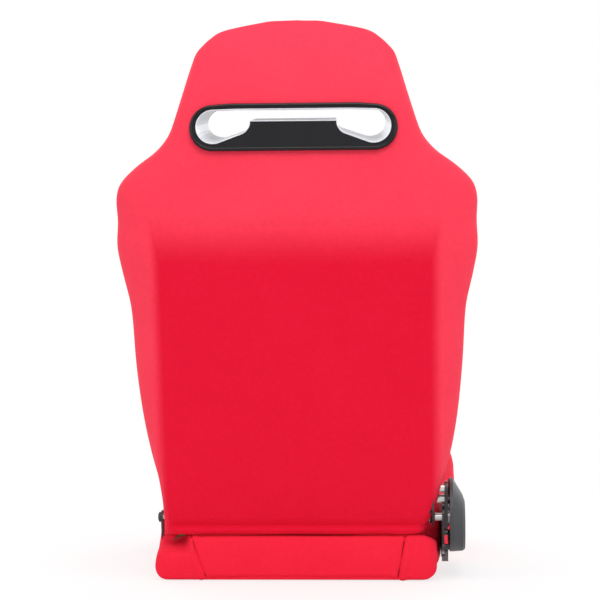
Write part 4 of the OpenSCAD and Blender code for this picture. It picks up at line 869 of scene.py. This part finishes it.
def plastic(name, dark, light, rough, grain=900, strength=0.25, coat=0.0, specular=0.5):
    """A moulding or paint with a fine grain."""
    m, t, b = tree(name)
    uv = obj_coords(t)
    g = node(t, "ShaderNodeTexNoise", Scale=float(grain), Detail=2.0)
    v = node(t, "ShaderNodeTexNoise", Scale=25.0, Detail=3.0)
    t.links.new(uv, g.inputs["Vector"])
    t.links.new(uv, v.inputs["Vector"])
    t.links.new(mix_colour(t, v.outputs["Fac"], dark, light), b.inputs["Base Color"])
    t.links.new(map_range(t, v.outputs["Fac"], rough - 0.05, rough + 0.06), b.inputs["Roughness"])
    bump(t, b, g.outputs["Fac"], strength, 0.0003)
    b.inputs["Coat Weight"].default_value = coat
    b.inputs["Coat Roughness"].default_value = 0.04
    b.inputs["Specular IOR Level"].default_value = specular
    return m


def metal(name, dark, light, rough):
    """Metal with fine lengthwise scratches."""
    m, t, b = tree(name)
    uv = obj_coords(t)
    mp = node(t, "ShaderNodeMapping", Scale=(900, 30, 30))
    t.links.new(uv, mp.inputs["Vector"])
    g = node(t, "ShaderNodeTexNoise", Scale=1.0, Detail=4.0)
    t.links.new(mp.outputs["Vector"], g.inputs["Vector"])
    v = node(t, "ShaderNodeTexNoise", Scale=60.0, Detail=4.0)
    t.links.new(uv, v.inputs["Vector"])
    t.links.new(mix_colour(t, v.outputs["Fac"], dark, light), b.inputs["Base Color"])
    t.links.new(map_range(t, g.outputs["Fac"], rough - 0.08, rough + 0.1), b.inputs["Roughness"])
    bump(t, b, g.outputs["Fac"], 0.12, 0.0002)
    b.inputs["Metallic"].default_value = 1.0
    return m


PAINTED_LIGHT_SIDE, PAINTED_LIGHT_BEND = (0.204, 0.224), (0.49, 0.575)   # where the painted light of the sides and the upper back begins, in m


def painted_light_mask(t):
    """1 on the rounded sides and above the bend, where light and sheen are painted, 0 on the flat
    panel of the lower back.
    """
    split = t.nodes.new("ShaderNodeSeparateXYZ")
    t.links.new(obj_coords(t), split.inputs[0])
    side = soft_step(t, add(t, split.outputs["X"], 0.0, "ABSOLUTE"), *PAINTED_LIGHT_SIDE)
    return add(t, side, soft_step(t, split.outputs["Z"], *PAINTED_LIGHT_BEND), "MAXIMUM")


red = cloth("red_knit", (0.82, 0.012, 0.040), (0.92, 0.024, 0.060), sheen=0.04)
# the backrest's cloth: its darker tones paint the shade on the lower flat panel, which faces down,
# and its paler tones paint light and sheen on the sides and the upper back
red_knit_shaded_and_lit = cloth("red_knit_painted_shade_and_light", (0.70, 0.004, 0.026), (0.80, 0.009, 0.040), sheen=0.04,
                 painted_light_tones=((0.86, 0.036, 0.074), (0.98, 0.058, 0.102)))
paint = plastic("frame_paint", (0.018, 0.018, 0.02), (0.035, 0.035, 0.038), 0.38, 400, 0.12, 0.2)
black_gloss = plastic("bezel_gloss", (0.004, 0.004, 0.005), (0.008, 0.008, 0.01), 0.2, 300, 0.02,
                      specular=0.26)
black_matte = plastic("grained_black", (0.025, 0.028, 0.032), (0.05, 0.054, 0.06), 0.5, 1400, 0.5)
grey = plastic("grained_grey", (0.12, 0.13, 0.14), (0.18, 0.19, 0.2), 0.55, 1400, 0.5)
silver = plastic("silver_liner", (0.62, 0.63, 0.68), (0.78, 0.79, 0.83), 0.34, 500, 0.08, 0.2)
zinc = metal("zinc_steel", (0.5, 0.5, 0.49), (0.72, 0.72, 0.7), 0.32)
dark_steel = metal("spring_steel", (0.16, 0.16, 0.17), (0.3, 0.3, 0.31), 0.38)
brass = metal("zip_metal", (0.05, 0.042, 0.02), (0.11, 0.09, 0.045), 0.42)
board = plastic("fibreboard", (0.16, 0.12, 0.08), (0.27, 0.2, 0.14), 0.8, 260, 0.6)
elastic = cloth("woven_elastic", (0.02, 0.02, 0.02), (0.05, 0.05, 0.05), 700, 0.85, 0.1,
                (0.5, 0.5, 0.5))
tape = cloth("zip_tape", (0.25, 0.004, 0.012), (0.36, 0.01, 0.02), 900, 0.85, 0.2)

finish_of = {
    "frame_paint": paint, "zinc_steel": zinc, "spring_steel": dark_steel,
    "black_gloss": black_gloss, "black_plastic": black_matte, "grey_plastic": grey,
    "silver_plastic": silver, "board": board,
    "strap": elastic, "zip_tape": tape, "zip_metal": brass, "red_cloth": red, "foam": red,
}
slot_of = {s["node"]: s["material_slot"] for s in frame["record"]["subparts"]}
for name, ob in NODES.items():
    ob.data.materials.clear()
    ob.data.materials.append(finish_of[slot_of[name]])

# ---------------------------------------------------------------- what each piece stands for
for ob, body, nodes, finish in ((back, "backrest", ("backrest_cover", "backrest_foam"), red_knit_shaded_and_lit),
                                (base, "seat_base", ("base_cover", "base_foam"), red)):
    ob.data.materials.clear()
    ob.data.materials.append(finish)
    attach(ob, body)
    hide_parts(*nodes)
rear_panel.data.materials.append(red)
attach(rear_panel, "seat_base")
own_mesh(rear_panel)
# the seam cords take the zip tape's dark red as painted shade in the seams
for cord in seam_shade_cords:
    cord.data.materials.append(tape)
    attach(cord, "seat_base")
    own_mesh(cord)
bezel.data.materials.append(black_gloss)
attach(bezel, "backrest")
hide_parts("harness_bezel_rear")
edge_trim.data.materials.append(silver)
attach(edge_trim, "backrest")

# ---------------------------------------------------------------- floor, light and camera
bpy.ops.mesh.primitive_plane_add(size=24, location=(0, 0, -0.0005))
floor = bpy.context.object
floor.name = "floor"


def seen_directly(t):
    """1 for rays from the camera and for rays that a gloss or clear surface sends on."""
    path = t.nodes.new("ShaderNodeLightPath")
    seen = add(t, path.outputs["Is Camera Ray"], path.outputs["Is Glossy Ray"], "MAXIMUM")
    return add(t, seen, path.outputs["Is Transmission Ray"], "MAXIMUM")


# the floor shows white far off and keeps the shadow near the seat
fm, ft, fb = tree("pale_floor")
fn = node(ft, "ShaderNodeTexNoise", Scale=3.0, Detail=2.0)
ft.links.new(obj_coords(ft), fn.inputs["Vector"])
ft.links.new(mix_colour(ft, fn.outputs["Fac"], (0.93, 0.93, 0.93), (0.96, 0.96, 0.96)),
             fb.inputs["Base Color"])
fb.inputs["Roughness"].default_value = 0.9
far = ft.nodes.new("ShaderNodeVectorMath")
far.operation = "LENGTH"
ft.links.new(obj_coords(ft), far.inputs[0])
NEAR, FAR, NEAR_GLOW = 0.5, 1.6, 0.72
nearness = soft_step(ft, far.outputs["Value"], NEAR, FAR, NEAR_GLOW)
share = add(ft, seen_directly(ft), nearness, "MULTIPLY")
glow = node(ft, "ShaderNodeEmission", Strength=1.0)
ft.links.new(mix_shaders(ft, share, fb.outputs["BSDF"], glow.outputs["Emission"]),
             ft.nodes["Material Output"].inputs["Surface"])
floor.data.materials.append(fm)

WORLD_LIGHT = 0.42
world = bpy.data.worlds.new("studio")
bpy.context.scene.world = world
world.use_nodes = True
wt = world.node_tree
bg = wt.nodes["Background"]
bg.inputs["Color"].default_value = (1, 1, 1, 1)
bg.inputs["Strength"].default_value = WORLD_LIGHT
white = node(wt, "ShaderNodeBackground", Color=(1, 1, 1, 1), Strength=1.0)
wt.links.new(mix_shaders(wt, seen_directly(wt), bg.outputs["Background"],
                         white.outputs["Background"]),
             wt.nodes["World Output"].inputs["Surface"])


def area(name, loc, target, size, power):
    """A soft rectangular lamp that points at the target."""
    d = bpy.data.lights.new(name, "AREA")
    d.shape = "RECTANGLE"
    d.size, d.size_y = size
    d.energy = power
    o = bpy.data.objects.new(name, d)
    bpy.context.scene.collection.objects.link(o)
    o.location = loc
    o.rotation_euler = (Vector(target) - Vector(loc)).to_track_quat("-Z", "Y").to_euler()


area("key", (-0.5, 2.6, 2.9), (0, 0.3, 0.5), (2.0, 1.2), 40)
area("side_plain", (2.4, 1.6, 1.3), (0, 0.25, 0.45), (1.2, 1.8), 17)
area("side_recliner", (-2.4, 1.6, 1.3), (0, 0.25, 0.45), (1.2, 1.8), 14)
area("top", (0, 0.8, 2.9), (0, 0.25, 0.5), (2.2, 1.6), 22)
area("front_left", (1.6, -2.4, 1.6), (0, 0, 0.4), (1.6, 1.6), 28)
area("front_right", (-1.6, -2.4, 1.6), (0, 0, 0.4), (1.6, 1.6), 28)

YAW, ROLL = math.radians(2.9), math.radians(-0.35)
CAM_DISTANCE, CAM_Z, LENS = 3.2, 0.47, 121
target = Vector((0.0, 0.235, 0.4394))
cam_d = bpy.data.cameras.new("camera")
cam = bpy.data.objects.new("camera", cam_d)
bpy.context.scene.collection.objects.link(cam)
bpy.context.scene.camera = cam
cam_d.sensor_width = 36
cam_d.lens = LENS
cam.location = Vector((-CAM_DISTANCE * math.sin(YAW),
                       target.y + CAM_DISTANCE * math.cos(YAW), CAM_Z))
aim = (target - cam.location).to_track_quat("-Z", "Y")
cam.rotation_euler = (aim @ Quaternion((0, 0, 1), ROLL)).to_euler()
bpy.context.scene.view_settings.view_transform = "Standard"
